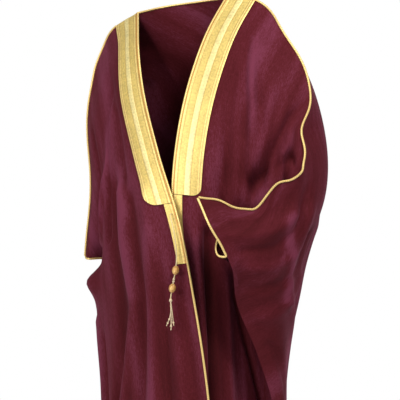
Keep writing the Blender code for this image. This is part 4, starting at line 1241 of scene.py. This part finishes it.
def add_strand(name, head, aside, forward, share, bow):
    """A tassel strand that bows a little and ends in a knot with a short tail."""
    steps = np.linspace(0.0, 1.0, 60)
    sway = np.sin(steps * math.pi) * bow * 0.006
    path = head + np.stack((aside * steps**2.4 + sway, forward * steps - np.abs(sway) * 0.4,
                            -TASSEL_DROP * share * steps), axis=-1)
    swell = 1 + (KNOT_SWELL - 1) * np.exp(-((steps - 0.88) / 0.035)**2)
    swell = swell + 0.5 * np.clip((steps - 0.95) / 0.05, 0.0, 1.0)
    return add_twist(name, path, STRAND_RADIUS, tassel_thread, sides=9, swell=swell)


tail = route[-1]
head_place = tail - np.array((0.0, 0.0, HEAD_RADIUS))
parts = [add_ball("tassel", head_place, HEAD_RADIUS, 1.15, tassel_thread)]
for number, strand in enumerate(TASSEL_STRANDS):
    parts.append(add_strand(f"strand_{number}", head_place, *strand))
knot_spots = (0.50, 0.62)
high, low = route_points[UPPER_BEAD], route_points[LOWER_BEAD]
knots = [add_ball(f"cord_knot_{number}", high + (low - high) * share, KNOT_RADIUS, 0.8,
                  tassel_thread)
         for number, share in enumerate(knot_spots)]
context = {"active_object": parts[0], "selected_editable_objects": parts}
with bpy.context.temp_override(**context):
    bpy.ops.object.join()
tassel = parts[0]
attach(tassel, "root")
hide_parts("cord_tassel")
for knot in knots:
    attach(knot, "root")
print("tassel with", len(TASSEL_STRANDS), "strands")

# %% [markdown]
# The studio is plain: a pale round floor just below the hem, a white surround, and three soft
# lights. The key light stands high on the cloak's left, so that the long folds show as light
# ridges and darker troughs. A broad fill on its right keeps the troughs from going black, and a
# rim light behind lifts the back. The surround looks pure white but lights the cloth dimly.

# %% Floor and light
FLOOR_HEIGHT = -1.43
FLOOR_RADIUS = 2.2
SURROUND = (0.94, 0.95, 0.97)
SURROUND_STRENGTH = 0.34
# Lights. Columns: angle round the cloak in degrees, height, distance, size, power.
LIGHTS = (
    ("key", 30.0, 1.75, 2.4, 0.9, 83.0),
    ("fill", -42.0, 0.50, 2.8, 1.6, 62.0),
    ("rim", 165.0, 1.20, 2.6, 2.0, 34.0),
)


def add_floor():
    """A plain pale disc under the cloak."""
    material = bpy.data.materials.new("pale floor")
    material.use_nodes = True
    shader = material.node_tree.nodes["Principled BSDF"]
    shader.inputs["Base Color"].default_value = (0.80, 0.80, 0.80, 1.0)
    shader.inputs["Roughness"].default_value = 0.9
    angles = 2 * math.pi * np.arange(96) / 96
    points = [(FLOOR_RADIUS * math.cos(a), FLOOR_RADIUS * math.sin(a), FLOOR_HEIGHT)
              for a in angles]
    floor = add_piece("floor", points, [tuple(range(96))], material)


def add_light(name, angle, height, distance, size, power):
    """A soft square light that looks at the cloak's chest."""
    turn = math.radians(angle) + VIEW_ANGLE
    place = Vector((math.sin(turn) * distance, -math.cos(turn) * distance, height))
    data = bpy.data.lights.new(name, "AREA")
    data.size = size
    data.energy = power
    light = bpy.data.objects.new(name, data)
    light.location = place
    toward = Vector((0.0, 0.0, -0.35)) - place
    light.rotation_euler = toward.to_track_quat("-Z", "Y").to_euler()
    bpy.context.scene.collection.objects.link(light)


add_floor()
for light in LIGHTS:
    add_light(*light)
world = bpy.data.worlds.new("surround")
world.use_nodes = True
tree = world.node_tree
seen = tree.nodes["Background"]
seen.inputs["Color"].default_value = (1.0, 1.0, 1.0, 1.0)
lighting = tree.nodes.new("ShaderNodeBackground")
lighting.inputs["Color"].default_value = (*SURROUND, 1.0)
lighting.inputs["Strength"].default_value = SURROUND_STRENGTH
rays = tree.nodes.new("ShaderNodeLightPath")
choice = tree.nodes.new("ShaderNodeMixShader")
tree.links.new(rays.outputs["Is Camera Ray"], choice.inputs["Fac"])
tree.links.new(lighting.outputs[0], choice.inputs[1])
tree.links.new(seen.outputs[0], choice.inputs[2])
tree.links.new(choice.outputs[0], tree.nodes["World Output"].inputs["Surface"])
bpy.context.scene.world = world
